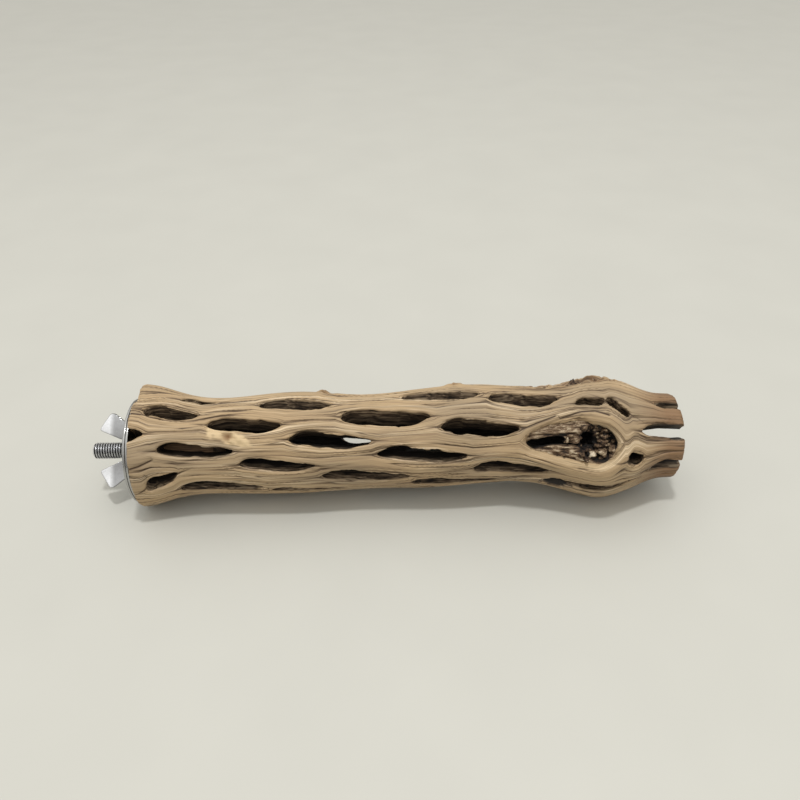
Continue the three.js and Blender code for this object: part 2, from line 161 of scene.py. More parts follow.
# What only the looks have. Eyes: powers that blunt the end towards the base and fill the end towards the
# tip, where 2 would be round, and how far and how often the outline wanders
EYE_BLUNT = 3.6
EYE_POINT = 2.1
OUTLINE_WANDER = ({"reach": 0.55, "length": 6.5}, {"reach": 0.14, "length": 2.2})
WANDER_ROUND = 1.3
# Radii of rounded edges, and how the skin sags towards an eye
EYE_LIP = 0.5
SCAR_LIP = 1.7
BASE_LIP = 0.5
TIP_LIP = 2.4
EYE_SAG = {"drop": 0.45, "reach": 2.4}
# Walls: rings from the skin (0) to the hollow (1), how they are torn, the ring that a sawn end counts as,
# and the ring that the inside starts at
WALL_BANDS = (0.0, 0.07, 0.18, 0.33, 0.52, 0.75, 1.0)
WALL_UNDERCUT = 0.8
WALL_ROUGHNESS = 0.6
WALL_LUMPS = {"length": 5, "to_a_radian": 8, "depth": 1.7}
SAWN_WALL = 0.02
DEEP_WALL = 0.5
HOLLOW_LUMPS = {"height": 0.7, "length": 5}
# The grid that the stem is cut from, and the distance at which a point moves onto the outline
STEPS_ALONG = 220
STEPS_ROUND = 270
SNAP = 0.15
SNAP_ROUNDS = 4
CUT_ROUNDS = 12
AT_END = 0.01
AT_OUTLINE = 0.1
STEM_TRIANGLES = 185000
# How the grain keeps to the outlines of the eyes
GRAIN_REACH = 5.5
GRAIN_PAST_TIP = 1.12
GRAIN_BLUNT = 0.7
# Broken, crumbly wood round the upper scar and on two knots, and a painted highlight on the rim below the
# large scar, where the light falls
BROKEN_KNOTS = KNOTS[:2]
BROKEN_RIM = {"rise": 0.9, "offset": 0.5, "reach": 3.2, "at_knots": 1.6}
BROKEN_LUMPS = {"coarse": 3.4, "fine": 1.4, "fine_share": 0.5, "drop": 0.9}
CRUMBLY_RIM = {"share": 0.6, "mean": 0.5, "length": 2.2}
CRUMBLY_KNOT = {"share": 0.8, "reach": 2, "mean": 0.6, "spread": 0.4, "length": 1.5}
LIT_RIM = {"share": 0.4, "offset": 0.9, "reach": 0.8, "turn": 0.2}
# Cracks that run on from the ends of the eyes: length, strength at the start, half width and reach
TIP_CRACK = 9
CRACK_START = 1.2
CRACK_HALF = 0.5
CRACK_REACH = 2.5
# Long cracks, as (along, degrees of turn) from point to point
LONG_CRACKS = (
    ((0, 14), (5, 17), (11, 23)),
    ((0, 72), (8.5, 71)),
    ((196, 57), (204.5, 61.5), (211, 61), (217, 56.5)),
    ((177, 46), (185, 53), (194, 60)),
)
# Pits in the skin: along, turn in degrees, half length, half width, depth, and how much painted shade darkens
# it inside, where a deep hole would be in shade
PITS = ((45, 46.5, 2.4, 1.9, 1.8, 0), (195.8, -25, 4.6, 2.8, 2.4, 0.62))
PIT_EDGE = {"spread": 0.3, "length": 1.6, "dark": (0.12, 0.35)}
# The chip on the front strand: its outline, its ragged edge and how far the fresh wood stands up
CHIP = {"along": 44.5, "turn": math.radians(46.5), "length": 13, "half": 4.2, "tilt": -0.3}
CHIP_EDGE = {"steep": 2.2, "spread": 0.9, "length": 2.6, "pale": (0.2, 0.7)}
CHIP_RISE = {"mean": 0.25, "spread": 0.6, "length": 1.8}

# Places in the frame: the bolt's line and the sawn base come from the inner washer's box
BOLT_OFFSET = 2.4
BOLT_TURN = math.radians(-54)
SOCKET_RADIUS = 13.8
SOCKET_DEPTH = 38
SOCKET_BLEND = 12
SEAT = 0.1
WASHER_LOW, WASHER_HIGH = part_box("inner_washer")
BASE_X = WASHER_HIGH.x / MM + SEAT
BOLT_Y = (WASHER_LOW.y + WASHER_HIGH.y) / 2 / MM
BOLT_Z = (WASHER_LOW.z + WASHER_HIGH.z) / 2 / MM
AXIS_Y = BOLT_Y + BOLT_OFFSET * math.cos(BOLT_TURN)
AXIS_Z = BOLT_Z - BOLT_OFFSET * math.sin(BOLT_TURN)

Eye = namedtuple("Eye", "along turn to_base to_tip half tilt radius scar")


def linear(code):
    """The linear colour of an sRGB hex code."""
    parts = [int(code[n : n + 2], 16) / 255 for n in (1, 3, 5)]
    return tuple(p / 12.92 if p <= 0.04045 else ((p + 0.055) / 1.055) ** 2.4 for p in parts)


def paint(colour):
    """A colour with full alpha, as node sockets want it, from a linear colour or an sRGB hex code."""
    return (*(linear(colour) if isinstance(colour, str) else colour), 1.0)


# Settings that a user would change


def length_setting(name, description, size):
    """A setting for a length, from its size in millimetres."""
    return FloatProperty(name=name, description=description, default=size * MM, unit="LENGTH", precision=5)


def colour_setting(name, description, code):
    """A setting for a colour, from its sRGB hex code."""
    return FloatVectorProperty(name=name, description=description, default=linear(code), subtype="COLOR")


def amount_setting(name, description, amount):
    """A setting for an amount that has no unit and is never negative."""
    return FloatProperty(name=name, description=description, default=amount, min=0)


class WoodSettings(bpy.types.PropertyGroup):
    """Relief and colours of the cholla wood."""

    rope_height: length_setting("Rope height", "Height of the broad twisted strands in the wood", 0.6)
    ridge_height: length_setting("Ridge height", "Height of the ridges that run with the grain", 0.28)
    groove_depth: length_setting("Groove depth", "Depth of the drying cracks between the ridges", 0.7)
    wall_roughness: length_setting("Wall roughness", "Height of the torn fibres on the walls of the eyes", 1)
    pale: colour_setting("Pale grain", "Colour of the palest streaks", "#dbc4a2")
    middle: colour_setting("Middle grain", "Colour of most of the skin", "#b59b77")
    dark: colour_setting("Dark grain", "Colour of the dark lines in the grain", "#9d8467")
    inside: colour_setting("Inside", "Colour of the walls of the eyes and the hollow", "#6d5b48")


class PithSettings(bpy.types.PropertyGroup):
    """Crumbled pith in the branch scars."""

    density: amount_setting("Crumb density", "Crumbs for each square metre of pith", 150000)
    smallest: length_setting("Smallest crumb", "Radius of the smallest crumb", 0.35)
    largest: length_setting("Largest crumb", "Radius of the largest crumb", 1.15)
    seed: IntProperty(name="Seed", description="Fixes where the crumbs lie", default=7)


class HardwareSettings(bpy.types.PropertyGroup):
    """Bolt, washers and wing nut."""

    bolt_radius: length_setting("Bolt radius", "Outer radius of the threads", 4)
    machine_pitch: length_setting("Machine pitch", "Pitch of the thread outside the wood", 1.25)
    wood_pitch: length_setting("Wood pitch", "Pitch of the thread in the plug", 3.5)
    zinc: colour_setting("Zinc", "Colour of the plated steel", "#f2f3f6")
    dull_zinc: colour_setting("Dull zinc", "Colour of the duller plate on the washers", "#b2b2b1")


class StageSettings(bpy.types.PropertyGroup):
    """Camera, floor and light."""

    elevation: FloatProperty(
        name="Camera elevation",
        description="How far the camera looks down",
        default=math.radians(36),
        subtype="ANGLE",
    )
    distance: length_setting("Camera distance", "From the camera to the stem's line", 373)
    floor: colour_setting("Floor", "Colour of the table top", "#c6c5bd")
    key_power: amount_setting("Key light", "Strength of the soft lamp over the table, in watts", 8)
    sky_strength: amount_setting("Sky light", "Strength of the even light from all round", 1.15)


class PerchSettings(bpy.types.PropertyGroup):
    """All the settings of the perch."""

    wood: PointerProperty(type=WoodSettings, name="Wood")
    pith: PointerProperty(type=PithSettings, name="Pith")
    hardware: PointerProperty(type=HardwareSettings, name="Hardware")
    stage: PointerProperty(type=StageSettings, name="Stage")


# Rules of the stem's shape, for arrays of places along it and turns round it


def bell(x, reach):
    """A smooth bump: 1 at 0 and almost 0 at twice the reach."""
    return np.exp(-((x / reach) ** 2))


def wrap(turn):
    """A turn brought to within half a turn of 0."""
    return turn - FULL_TURN * np.round(turn / FULL_TURN)


def ramp(x, start, end):
    """A smooth step from 0 to 1 between two places."""
    t = np.clip((x - start) / (end - start), 0, 1)
    return t * t * (3 - 2 * t)


def rounded_drop(distance, radius):
    """How far a quarter-round edge has dropped at a distance from its brink."""
    inward = radius - np.clip(distance, 0, radius)
    return radius - np.sqrt(radius * radius - inward * inward)


def lumps(places, seed):
    """Smooth random heights from -1 to 1 at rows of (x, y, z), one lump for each unit."""
    cell = np.floor(places).astype(np.int64)
    part = places - cell
    fade = part**3 * (part * (part * 6 - 15) + 10)
    total = np.zeros(len(places))
    for corner in np.ndindex(2, 2, 2):
        at = cell + corner
        mixed = at[:, 0] * 73856093 ^ at[:, 1] * 19349663 ^ at[:, 2] * 83492791 ^ (seed * 2654435761)
        mixed = ((mixed & 0xFFFFFFFF) ^ ((mixed & 0xFFFFFFFF) >> 15)) * 0x2C1B3C6D & 0xFFFFFFFF
        mixed = (mixed ^ (mixed >> 12)) * 0x297A2D39 & 0xFFFFFFFF
        mixed ^= mixed >> 15
        share = np.prod(np.where(np.array(corner) == 1, fade, 1 - fade), axis=1)
        total += (mixed / 0x7FFFFFFF - 1) * share
    return total


def away_from(place, along, turn):
    """Distance over the skin from a place that has an along and a turn."""
    return np.hypot(along - place["along"], STEM_RADIUS * wrap(turn - place["turn"]))


def skin_radius(along, turn):
    """Radius of the skin before its eyes are opened. Turn 0 is the front, a quarter turn is up."""
    from_knob = along - KNOB["at"]
    flat = FLARE["flat_drop"] * bell(wrap(turn - FLARE["flat_turn"]) ** 2, FLARE["flat_reach"] ** 2)
    notch = NOTCH["drop"] * bell(wrap(turn - NOTCH["turn"]), NOTCH["width"]) * bell(along, NOTCH["reach"])
    radius = (
        STEM_RADIUS
        + (FLARE["rise"] - flat) * bell(along, FLARE["reach"])
        - notch
        + KNOB["rise"] * bell(from_knob, np.where(from_knob < 0, KNOB["to_base"], KNOB["to_tip"]))
        - TAPER["drop"] * ramp(along, TAPER["start"], TAPER["end"])
        + WAVES["height"] * np.cos(FULL_TURN * (along - WAVES["crest"]) / WAVES["length"])
    )
    for bow in BOWS:
        radius = radius + bow["shift"] * bell(along - bow["at"], bow["reach"]) * np.cos(turn - BOW_TURN)
    for knot in KNOTS:
        radius = radius + knot["rise"] * bell(away_from(knot, along, turn), knot["reach"])
    return radius


def make_eye(along, turn, to_base, to_tip, width, tilt=EYE_TILT, scar=False):
    """One eye, widest at its place along the stem."""
    return Eye(along, turn, to_base, to_tip, width / 2, tilt, float(skin_radius(along, turn)), scar)


def spiral_eye(number):
    """An eye of the spiral, or None where the closed rim of the base leaves no room for it."""
    if number in SCARS:
        return make_eye(**SCARS[number], scar=True)
    change = EYE_CHANGES.get(number, {})
    along = EYE_ZERO + EYE_STEP * number + change.get("along", 0)
    turn = EYE_ZERO_TURN + GOLDEN_ANGLE * number + math.radians(change.get("turn", 0))
    length, width = (
        change.get(name, usual["mean"] + usual["spread"] * math.sin(usual["rate"] * number))
        for name, usual in (("length", EYE_LENGTH), ("width", EYE_WIDTH))
    )
    base = along - length / 2
    tip = along + length / 2
    if number != OPEN_AT_BASE:
        base = max(base, CLOSED_RIM)
    if tip > STEM_LENGTH - OPEN_TIP:
        tip = max(tip, STEM_LENGTH + OPEN_TIP)
    if tip - base < SHORTEST_EYE and "length" not in change:
        return None
    widest = base + (tip - base) * EYE_BASE_SHARE
    return make_eye(widest, turn, widest - base, tip - widest, width, change.get("tilt", EYE_TILT))


def make_eyes():
    """All the eyes of the stem."""
    eyes = [spiral_eye(number) for number in range(FIRST_EYE, LAST_EYE + 1)]
    return [eye for eye in eyes if eye] + [make_eye(**BRIDGED_EYE)]


EYES = make_eyes()
SCAR_EYES = [eye for eye in EYES if eye.scar]


def eye_place(eye, along, turn):
    """Places as seen from an eye: share of its length (1 at either end), run, and distance to its side."""
    run = along - eye.along
    share = run / np.where(run < 0, eye.to_base, eye.to_tip)
    sway = EYE_SWAY * np.sin(math.pi * np.clip(share, -1, 1))
    side = eye.radius * wrap(turn - eye.turn) - eye.tilt * run + sway
    return share, run, side


def distance_to_eye(eye, along, turn):
    """Distance over the skin to an eye's outline, negative inside the eye."""
    share, run, side = eye_place(eye, along, turn)
    to_tip = run > 0
    ends = np.where(to_tip | eye.scar, 2.0, EYE_BLUNT)
    sides = np.where(to_tip & (not eye.scar), EYE_POINT, 2.0)
    length = np.abs(share) + 1e-6
    across = np.abs(side) / eye.half + 1e-6
    level = np.maximum(np.sqrt(length**ends + across**sides), 1e-3)
    reach = np.where(to_tip, eye.to_tip, eye.to_base)
    steep_along = ends * length ** (ends - 1) / reach
    steep_across = sides * across ** (sides - 1) / eye.half
    slope = np.hypot(steep_along, steep_across) / (2 * level)
    return (level - 1) / np.maximum(slope, 1e-3)


def cylinder(along, turn, radius=STEM_RADIUS):
    """Places on a straight cylinder, for patterns that close round the stem."""
    return np.stack([along, radius * np.cos(turn), radius * np.sin(turn)], axis=1)


def skin_lumps(along, turn, length, seed):
    """Smooth random heights from -1 to 1 on the skin, with lumps of a length in millimetres."""
    return lumps(cylinder(along, turn) / length, seed)


def distance_to_eyes(along, turn, eyes=EYES):
    """Distance to the nearest outline, which wanders a little as torn wood does."""
    places = cylinder(along, turn)
    for number, wander in enumerate(OUTLINE_WANDER):
        at = places / wander["length"]
        along = along + wander["reach"] * lumps(at, seed=2 * number + 1)
        turn = turn + wander["reach"] / STEM_RADIUS * lumps(at * WANDER_ROUND, seed=2 * number + 2)
    least = np.full(len(along), 1e3)
    for eye in eyes:
        least = np.minimum(least, distance_to_eye(eye, along, turn))
    return least


def collar_height(along, turn):
    """Height that the collars of the branch scars add to the skin."""
    total = np.zeros(len(along))
    for number, rise in COLLAR_RISE.items():
        distance = distance_to_eye(spiral_eye(number), along, turn)
        total += rise * bell(distance - COLLAR["offset"], COLLAR["reach"])
    return total


def near_broken_scar(along, turn):
    """How near a place is to the broken rim of the upper branch scar, from 0 to 1."""
    distance = distance_to_eye(spiral_eye(BROKEN_SCAR), along, turn)
    return bell(distance - BROKEN_RIM["offset"], BROKEN_RIM["reach"])


def broken_rim(along, turn):
    """Height of the broken, crumbly wood round the upper branch scar and the knots."""
    coarse = 2 * np.abs(skin_lumps(along, turn, BROKEN_LUMPS["coarse"], seed=11)) - BROKEN_LUMPS["drop"]
    broken = coarse + BROKEN_LUMPS["fine_share"] * skin_lumps(along, turn, BROKEN_LUMPS["fine"], seed=12)
    near = near_broken_scar(along, turn)
    for knot in BROKEN_KNOTS:
        near = np.maximum(near, BROKEN_RIM["at_knots"] * bell(away_from(knot, along, turn), knot["reach"]))
    return BROKEN_RIM["rise"] * broken * near


def chip_share(along, turn):
    """How much of the old skin is chipped off the front strand, from 0 to 1."""
    run = along - CHIP["along"]
    side = STEM_RADIUS * wrap(turn - CHIP["turn"]) - CHIP["tilt"] * run
    away = np.hypot(run / CHIP["length"], side / CHIP["half"])
    ragged = CHIP_EDGE["spread"] * skin_lumps(along, turn, CHIP_EDGE["length"], seed=5)
    return np.clip(CHIP_EDGE["steep"] - CHIP_EDGE["steep"] * away + ragged, 0, 1)


def pits(along, turn):
    """Pits in the skin: their depth, how brown they are, and the painted shade inside them."""
    depth, brown, dark = np.zeros((3, len(along)))
    ragged = 1 + PIT_EDGE["spread"] * skin_lumps(along, turn, PIT_EDGE["length"], seed=18)
    for at, at_turn, half_length, half_width, deepest, painted_shade_inside in PITS:
        run = (along - at) / half_length
        side = STEM_RADIUS * wrap(turn - math.radians(at_turn)) / half_width
        share = bell(np.hypot(run, side) * ragged, 1)
        depth += deepest * share
        brown = np.maximum(brown, share)
        dark = np.maximum(dark, painted_shade_inside * ramp(share, *PIT_EDGE["dark"]))
    return depth, brown, dark


def crack_lines(along, turn):
    """Cracks that run on from the ends of the eyes, and the long ones.

    Gives the distance to the side of the nearest, with its sign, and how strong it is from 0 to 1.
    """
    side = np.full(len(along), CRACK_REACH)
    strength = np.zeros(len(along))
    candidates = []
    for eye in EYES:
        if not eye.scar:
            _, run, off = eye_place(eye, along, turn)
            past = np.maximum(-eye.to_base - run, run - eye.to_tip)
            strong = np.clip(CRACK_START - CRACK_START * past / TIP_CRACK, 0, 1)
            candidates.append((off, np.where(past > -1, strong, 0)))
    for line in LONG_CRACKS:
        for (start, start_turn), (end, end_turn) in zip(line, line[1:]):
            first = math.radians(start_turn)
            x, y = along - start, STEM_RADIUS * wrap(turn - first)
            span = end - start, STEM_RADIUS * (math.radians(end_turn) - first)
            length = math.hypot(*span)
            share = (x * span[0] + y * span[1]) / length**2
            beyond = np.maximum(-share, share - 1) * length
            candidates.append(((span[0] * y - span[1] * x) / length, np.clip(1 - beyond, 0, 1)))
    for off, strong in candidates:
        strong = strong * bell(off, CRACK_REACH)
        side = np.where(strong > strength, off, side)
        strength = np.maximum(strength, strong)
    return side, strength


def grain_turn(along, turn):
    """The turn that a place would have if the grain ran straight: near an eye it keeps to the outline."""
    shift = np.zeros(len(along))
    for eye in EYES:
        share, _, side = eye_place(eye, along, turn)
        inside = np.clip(1 - (share / GRAIN_PAST_TIP) ** 2, 0, 1)
        edge = eye.half * inside**GRAIN_BLUNT
        shift += np.sign(side) * edge * np.exp(-np.maximum(np.abs(side) - edge, 0) / GRAIN_REACH)
    return turn - shift / STEM_RADIUS


def outer_radius(along, turn, distance):
    """Outer radius of the wood, with its edges rounded towards the eyes and the sawn ends."""
    from_scar = distance_to_eyes(along, turn, SCAR_EYES)
    edges = (
        rounded_drop(distance, EYE_LIP)
        + rounded_drop(from_scar, SCAR_LIP)
        + EYE_SAG["drop"] * np.exp(-np.maximum(distance, 0) / EYE_SAG["reach"])
        + rounded_drop(along, BASE_LIP)
        + rounded_drop(STEM_LENGTH - along, TIP_LIP)
        + pits(along, turn)[0]
    )
    rise = CHIP_RISE["mean"] + CHIP_RISE["spread"] * skin_lumps(along, turn, CHIP_RISE["length"], seed=13)
    chip = chip_share(along, turn) * rise
    rims = collar_height(along, turn) + broken_rim(along, turn)
    return skin_radius(along, turn) + rims + chip - edges


def inner_radius(along, turn):
    """Inner radius: the socket bored for the plug, and the natural hollow beyond it."""
    off = turn - BOLT_TURN
    socket = BOLT_OFFSET * np.cos(off) + np.sqrt(SOCKET_RADIUS**2 - (BOLT_OFFSET * np.sin(off)) ** 2)
    hollow = HOLLOW_RADIUS + HOLLOW_FOLLOWS * (skin_radius(along, turn) - STEM_RADIUS)
    hollow = hollow + HOLLOW_LUMPS["height"] * skin_lumps(along, turn, HOLLOW_LUMPS["length"], seed=3)
    natural = ramp(along, SOCKET_DEPTH, SOCKET_DEPTH + SOCKET_BLEND)
    return socket + (hollow - socket) * natural


def stem_points(along, turn, radius):
    """Places in the frame, no lower than the table."""
    height = AXIS_Z + radius * np.sin(turn)
    return np.stack([BASE_X + along, AXIS_Y - radius * np.cos(turn), np.maximum(height, 0)], axis=1)


# Cutting a sheet along an outline


def sheet_slope(distance, points, step=0.05):
    """How fast the distance grows along and across a sheet."""
    ahead = np.array([step, 0])
    aside = np.array([0, step])
    return np.stack(
        [
            (distance(points + ahead) - distance(points - ahead)) / (2 * step),
            (distance(points + aside) - distance(points - aside)) / (2 * step),
        ],
        axis=1,
    )


def cut_sheet(points, triangles, distance, fixed_along, period=None):
    """Cut the places where the distance is negative out of a triangle grid.

    Points near the outline are moved onto it first. Those of fixed_along keep their place along.
    A sheet that closes on itself has a period across.
    """
    points = points.copy()
    away = distance(points)
    near = np.flatnonzero(np.abs(away) < SNAP)
    for _ in range(SNAP_ROUNDS):
        slope = sheet_slope(distance, points[near])
        slope[fixed_along[near], 0] = 0
        steep = np.maximum((slope**2).sum(axis=1), 1e-2)
        points[near] -= (distance(points[near]) / steep)[:, None] * slope
    away[near] = 0
    sign = np.sign(away).astype(int)

    corners = sign[triangles]
    whole = triangles[(corners.min(axis=1) >= 0) & (corners.max(axis=1) > 0)]
    mixed = triangles[(corners.min(axis=1) < 0) & (corners.max(axis=1) > 0)]
    crossings = {}
    clipped = []
    for corner in mixed.tolist():
        polygon = []
        for n in range(3):
            a, b = corner[n], corner[(n + 1) % 3]
            if sign[a] >= 0:
                polygon.append(a)
            if sign[a] * sign[b] < 0:
                key = (min(a, b), max(a, b))
                polygon.append(crossings.setdefault(key, len(points) + len(crossings)))
        clipped += [(polygon[0], polygon[n], polygon[n + 1]) for n in range(1, len(polygon) - 1)]

    pairs = np.array(list(crossings), dtype=int).reshape(-1, 2)
    inside = np.where(sign[pairs[:, 0]] > 0, pairs[:, 0], pairs[:, 1])
    outside = np.where(sign[pairs[:, 0]] > 0, pairs[:, 1], pairs[:, 0])
    span = points[outside] - points[inside]
    if period:
        span[:, 1] -= period * np.round(span[:, 1] / period)
    low = np.zeros(len(pairs))
    high = np.ones(len(pairs))
    for _ in range(CUT_ROUNDS):
        middle = (low + high) / 2
        wood = distance(points[inside] + span * middle[:, None]) > 0
        low = np.where(wood, middle, low)
        high = np.where(wood, high, middle)
    points = np.concatenate([points, points[inside] + span * low[:, None]])
    triangles = np.concatenate([whole, np.array(clipped, dtype=int).reshape(-1, 3)])

    used = np.unique(triangles)
    number = np.full(len(points), -1)
    number[used] = np.arange(len(used))
    return points[used], number[triangles]


def open_edges(triangles):
    """The edges that only one triangle has, in its own direction."""
    edges = np.concatenate([triangles[:, [0, 1]], triangles[:, [1, 2]], triangles[:, [2, 0]]])
    count = edges.max() + 1
    there = edges[:, 0] * count + edges[:, 1]
    back = edges[:, 1] * count + edges[:, 0]
    return edges[~np.isin(there, back)]


def thick_faces(triangles, count, rings):
    """Faces of a wall: an outer sheet, an inner sheet, and bands between them along the open edges.

    The outer sheet's points come first, then the inner sheet's, then each ring between the bands,
    in the order of the rim that is returned with the faces.
    """
    edges = open_edges(triangles)
    rim = np.unique(edges)
    place = np.full(count, -1)
    place[rim] = np.arange(len(rim))
    levels = [edges]
    for ring in range(rings):
        levels.append(2 * count + ring * len(rim) + place[edges])
    levels.append(edges + count)
    faces = [triangles, triangles[:, ::-1] + count]
    for upper, lower in zip(levels, levels[1:]):
        faces.append(np.stack([upper[:, 1], upper[:, 0], lower[:, 0]], axis=1))
        faces.append(np.stack([upper[:, 1], lower[:, 0], lower[:, 1]], axis=1))
    return np.concatenate(faces), rim


def grid_places(rows, columns):
    """Row and column of each point of a grid, row by row."""
    i, j = np.meshgrid(np.arange(rows), np.arange(columns), indexing="ij")
    return i.ravel(), j.ravel()


def triangle_grid(along_steps, round_steps, closed):
    """Triangles of a grid whose odd rows are shifted half a step, seen from outside."""
    row = round_steps if closed else round_steps + 1
    i, j = grid_places(along_steps, round_steps)
    here = i * row + j
    beside = i * row + (j + 1) % row
    ahead = (i + 1) * row + j
    across = (i + 1) * row + (j + 1) % row
    even = (i % 2 == 0)[:, None]
    first = np.where(even, np.stack([here, ahead, beside], 1), np.stack([here, ahead, across], 1))
    second = np.where(even, np.stack([ahead, across, beside], 1), np.stack([here, across, beside], 1))
    return np.concatenate([first, second])


# Objects, node trees and materials


def new_object(name, points, faces):
    """An object at the origin from places in millimetres."""
    mesh = bpy.data.meshes.new(name)
    mesh.from_pydata(np.asarray(points) * MM, [], faces)
    mesh.update()
    obj = bpy.data.objects.new(name, mesh)
    bpy.context.scene.collection.objects.link(obj)
    return obj


def set_attribute(obj, name, kind, values):
    """Store one value for each point of a mesh."""
    layer = obj.data.attributes.new(name, kind, "POINT")
    field = "vector" if kind == "FLOAT_VECTOR" else "value"
    layer.data.foreach_set(field, np.asarray(values, float).ravel())


def get_places(obj):
    """The points of a mesh, in metres."""
    places = np.zeros(len(obj.data.vertices) * 3)
    obj.data.vertices.foreach_get("co", places)
    return places.reshape(-1, 3)


def set_places(obj, places):
    """Move the points of a mesh to places in metres."""
    obj.data.vertices.foreach_set("co", places.ravel())
    obj.data.update()


def keep_in_box(obj, node):
    """Bring points that lie outside a CAD node's box back into it."""
    low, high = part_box(node)
    set_places(obj, np.clip(get_places(obj), low, high))


def keep_modified(obj):
    """Keep what an object's modifiers make of it as its plain mesh."""
    depsgraph = bpy.context.evaluated_depsgraph_get()
    mesh = bpy.data.meshes.new_from_object(
        obj.evaluated_get(depsgraph), preserve_all_data_layers=True, depsgraph=depsgraph
    )
    if not mesh.polygons:
        raise RuntimeError(f"{obj.name} came out empty")
    obj.modifiers.clear()
    old = obj.data
    obj.data = mesh
    bpy.data.meshes.remove(old)
    mesh.name = obj.name


def smooth(obj, sharpest=None):
    """Shade a piece smooth, apart from edges sharper than an angle in degrees."""
    obj.data.polygons.foreach_set("use_smooth", [True] * len(obj.data.polygons))
    if sharpest:
        obj.data.set_sharp_from_angle(angle=math.radians(sharpest))
    obj.data.update()


def set_inputs(tree, node, inputs):
    """Give a node's inputs their values, or link them from a socket or from a node's first output in use."""
    for key, value in inputs.items():
        if isinstance(value, bpy.types.Node):
            value = next(socket for socket in value.outputs if socket.enabled)
        if isinstance(value, bpy.types.NodeSocket):
            tree.links.new(value, node.inputs[key])
        else:
            node.inputs[key].default_value = value


def add(tree, kind, *inputs, **settings):
    """Add a node with its settings and its inputs, which come in order or in a dict by name or number."""
    node = tree.nodes.new(kind)
    for name, value in settings.items():
        setattr(node, name, value)
    named = inputs and isinstance(inputs[0], dict)
    set_inputs(tree, node, inputs[0] if named else dict(enumerate(inputs)))
    return node


def add_steps(tree, parts, steps):
    """Add nodes one after another, and keep each under its name in parts.

    A step is a name, a kind of node with its operation, and its inputs in order: values or names of parts.
    """
    for name, kind, *inputs in steps:
        kind, *operation = kind.split()
        settings = {"operation": operation[0]} if operation else {}
        inputs = [parts.get(value, value) for value in inputs]
        parts[name] = add(tree, f"ShaderNode{kind}", *inputs, **settings)


def new_tree(name, sockets):
    """An empty Geometry Nodes tree with named inputs, and its input and output nodes."""
    tree = bpy.data.node_groups.new(name, "GeometryNodeTree")
    tree.interface.new_socket("Geometry", in_out="OUTPUT", socket_type="NodeSocketGeometry")
    for socket, kind in {"Geometry": "NodeSocketGeometry", **sockets}.items():
        tree.interface.new_socket(socket, in_out="INPUT", socket_type=kind)
    return tree, add(tree, "NodeGroupInput").outputs, add(tree, "NodeGroupOutput")


def push_out(tree, geometry, height):
    """Move points out along their normals."""
    normal = add(tree, "GeometryNodeInputNormal")
    offset = add(tree, "ShaderNodeVectorMath", {0: normal, "Scale": height}, operation="SCALE")
    return add(tree, "GeometryNodeSetPosition", {"Geometry": geometry, "Offset": offset})


def end_tree(tree, geometry, material, out):
    """End a tree with real geometry that has its material."""
    real = add(tree, "GeometryNodeRealizeInstances", geometry)
    dressed = add(tree, "GeometryNodeSetMaterial", {"Geometry": real, "Material": material})
    set_inputs(tree, out, {"Geometry": dressed})
    return tree


def run_tree(obj, tree, values):
    """Run a Geometry Nodes tree on an object and keep the result as its plain mesh."""
    modifier = obj.modifiers.new(tree.name, "NODES")
    modifier.node_group = tree
    for item in tree.interface.items_tree:
        if item.in_out == "INPUT" and item.name in values:
            modifier[item.identifier] = values[item.name]
    keep_modified(obj)


def new_material(name):
    """A material, its tree and its shader."""
    material = bpy.data.materials.new(name)
    material.use_nodes = True
    tree = material.node_tree
    return material, tree, tree.nodes["Principled BSDF"]


def set_ramp(node, stops):
    """Give a Color Ramp its stops, from pairs of a place and a colour."""
    elements = node.color_ramp.elements
    while len(elements) < len(stops):
        elements.new(0.5)
    for stop, (place, colour) in zip(elements, stops):
        stop.position = place
        stop.color = paint(colour)
    return node


def stretch(length, width):
    """Scale of a pattern along X, from the length and width of what it shows."""
    return 1 / length, 1 / width, 1 / width


# Grain patterns of the wood: length and width in millimetres, and detail. The lines are drawn a little
# coarser than real grain so that they show
GRAIN_PATTERNS = {
    "lines": (30, 0.9, 3),
    "streaks": (70, 4, 3),
    "patches": (45, 16, 2),
    "hairs": (80, 3, 1),
    "threads": (60, 1.6, 1),
}
# Relief of the wood: length and width in millimetres, and detail
RELIEF_PATTERNS = {
    "ropes": (70, 7, 1),
    "ridges": (50, 2.4, 2),
    "cracks": (75, 3.4, 1),
    "fibres": (9, 1.4, 2),
}
# Thin lines where a noise passes its middle: their width in the noise, their strength, and the noise that
# they show in, from faint to full
THIN_LINES = {
    "hairs": (0.032, 1, "streaks", 0.42, 0.58),
    "threads": (0.036, 0.45, "streaks", 0.42, 0.58),
    "cracks": (0.045, 1, "ridges", 0.38, 0.55),
}


def grain_noise(tree, grain, patterns, roughness):
    """Noise for each pattern of the wood, laid along the grain."""
    noise = {}
    for name, (length, width, detail) in patterns.items():
        place = add(tree, "ShaderNodeVectorMath", grain, stretch(length, width), operation="MULTIPLY")
        settings = {"Vector": place, "Scale": 1, "Detail": detail, "Roughness": roughness}
        noise[name] = add(tree, "ShaderNodeTexNoise", settings)
    return noise


def thin_lines(name):
    """Steps that draw the thin lines of a pattern."""
    width, strength, mask, faint, full = THIN_LINES[name]
    return (
        ("near", "Math SUBTRACT", name, 0.5),
        ("near", "Math ABSOLUTE", "near"),
        ("near", "MapRange", "near", 0, width, strength, 0),
        ("shown", "MapRange", mask, faint, full),
        (f"drawn {name}", "Math MULTIPLY", "near", "shown"),
    )


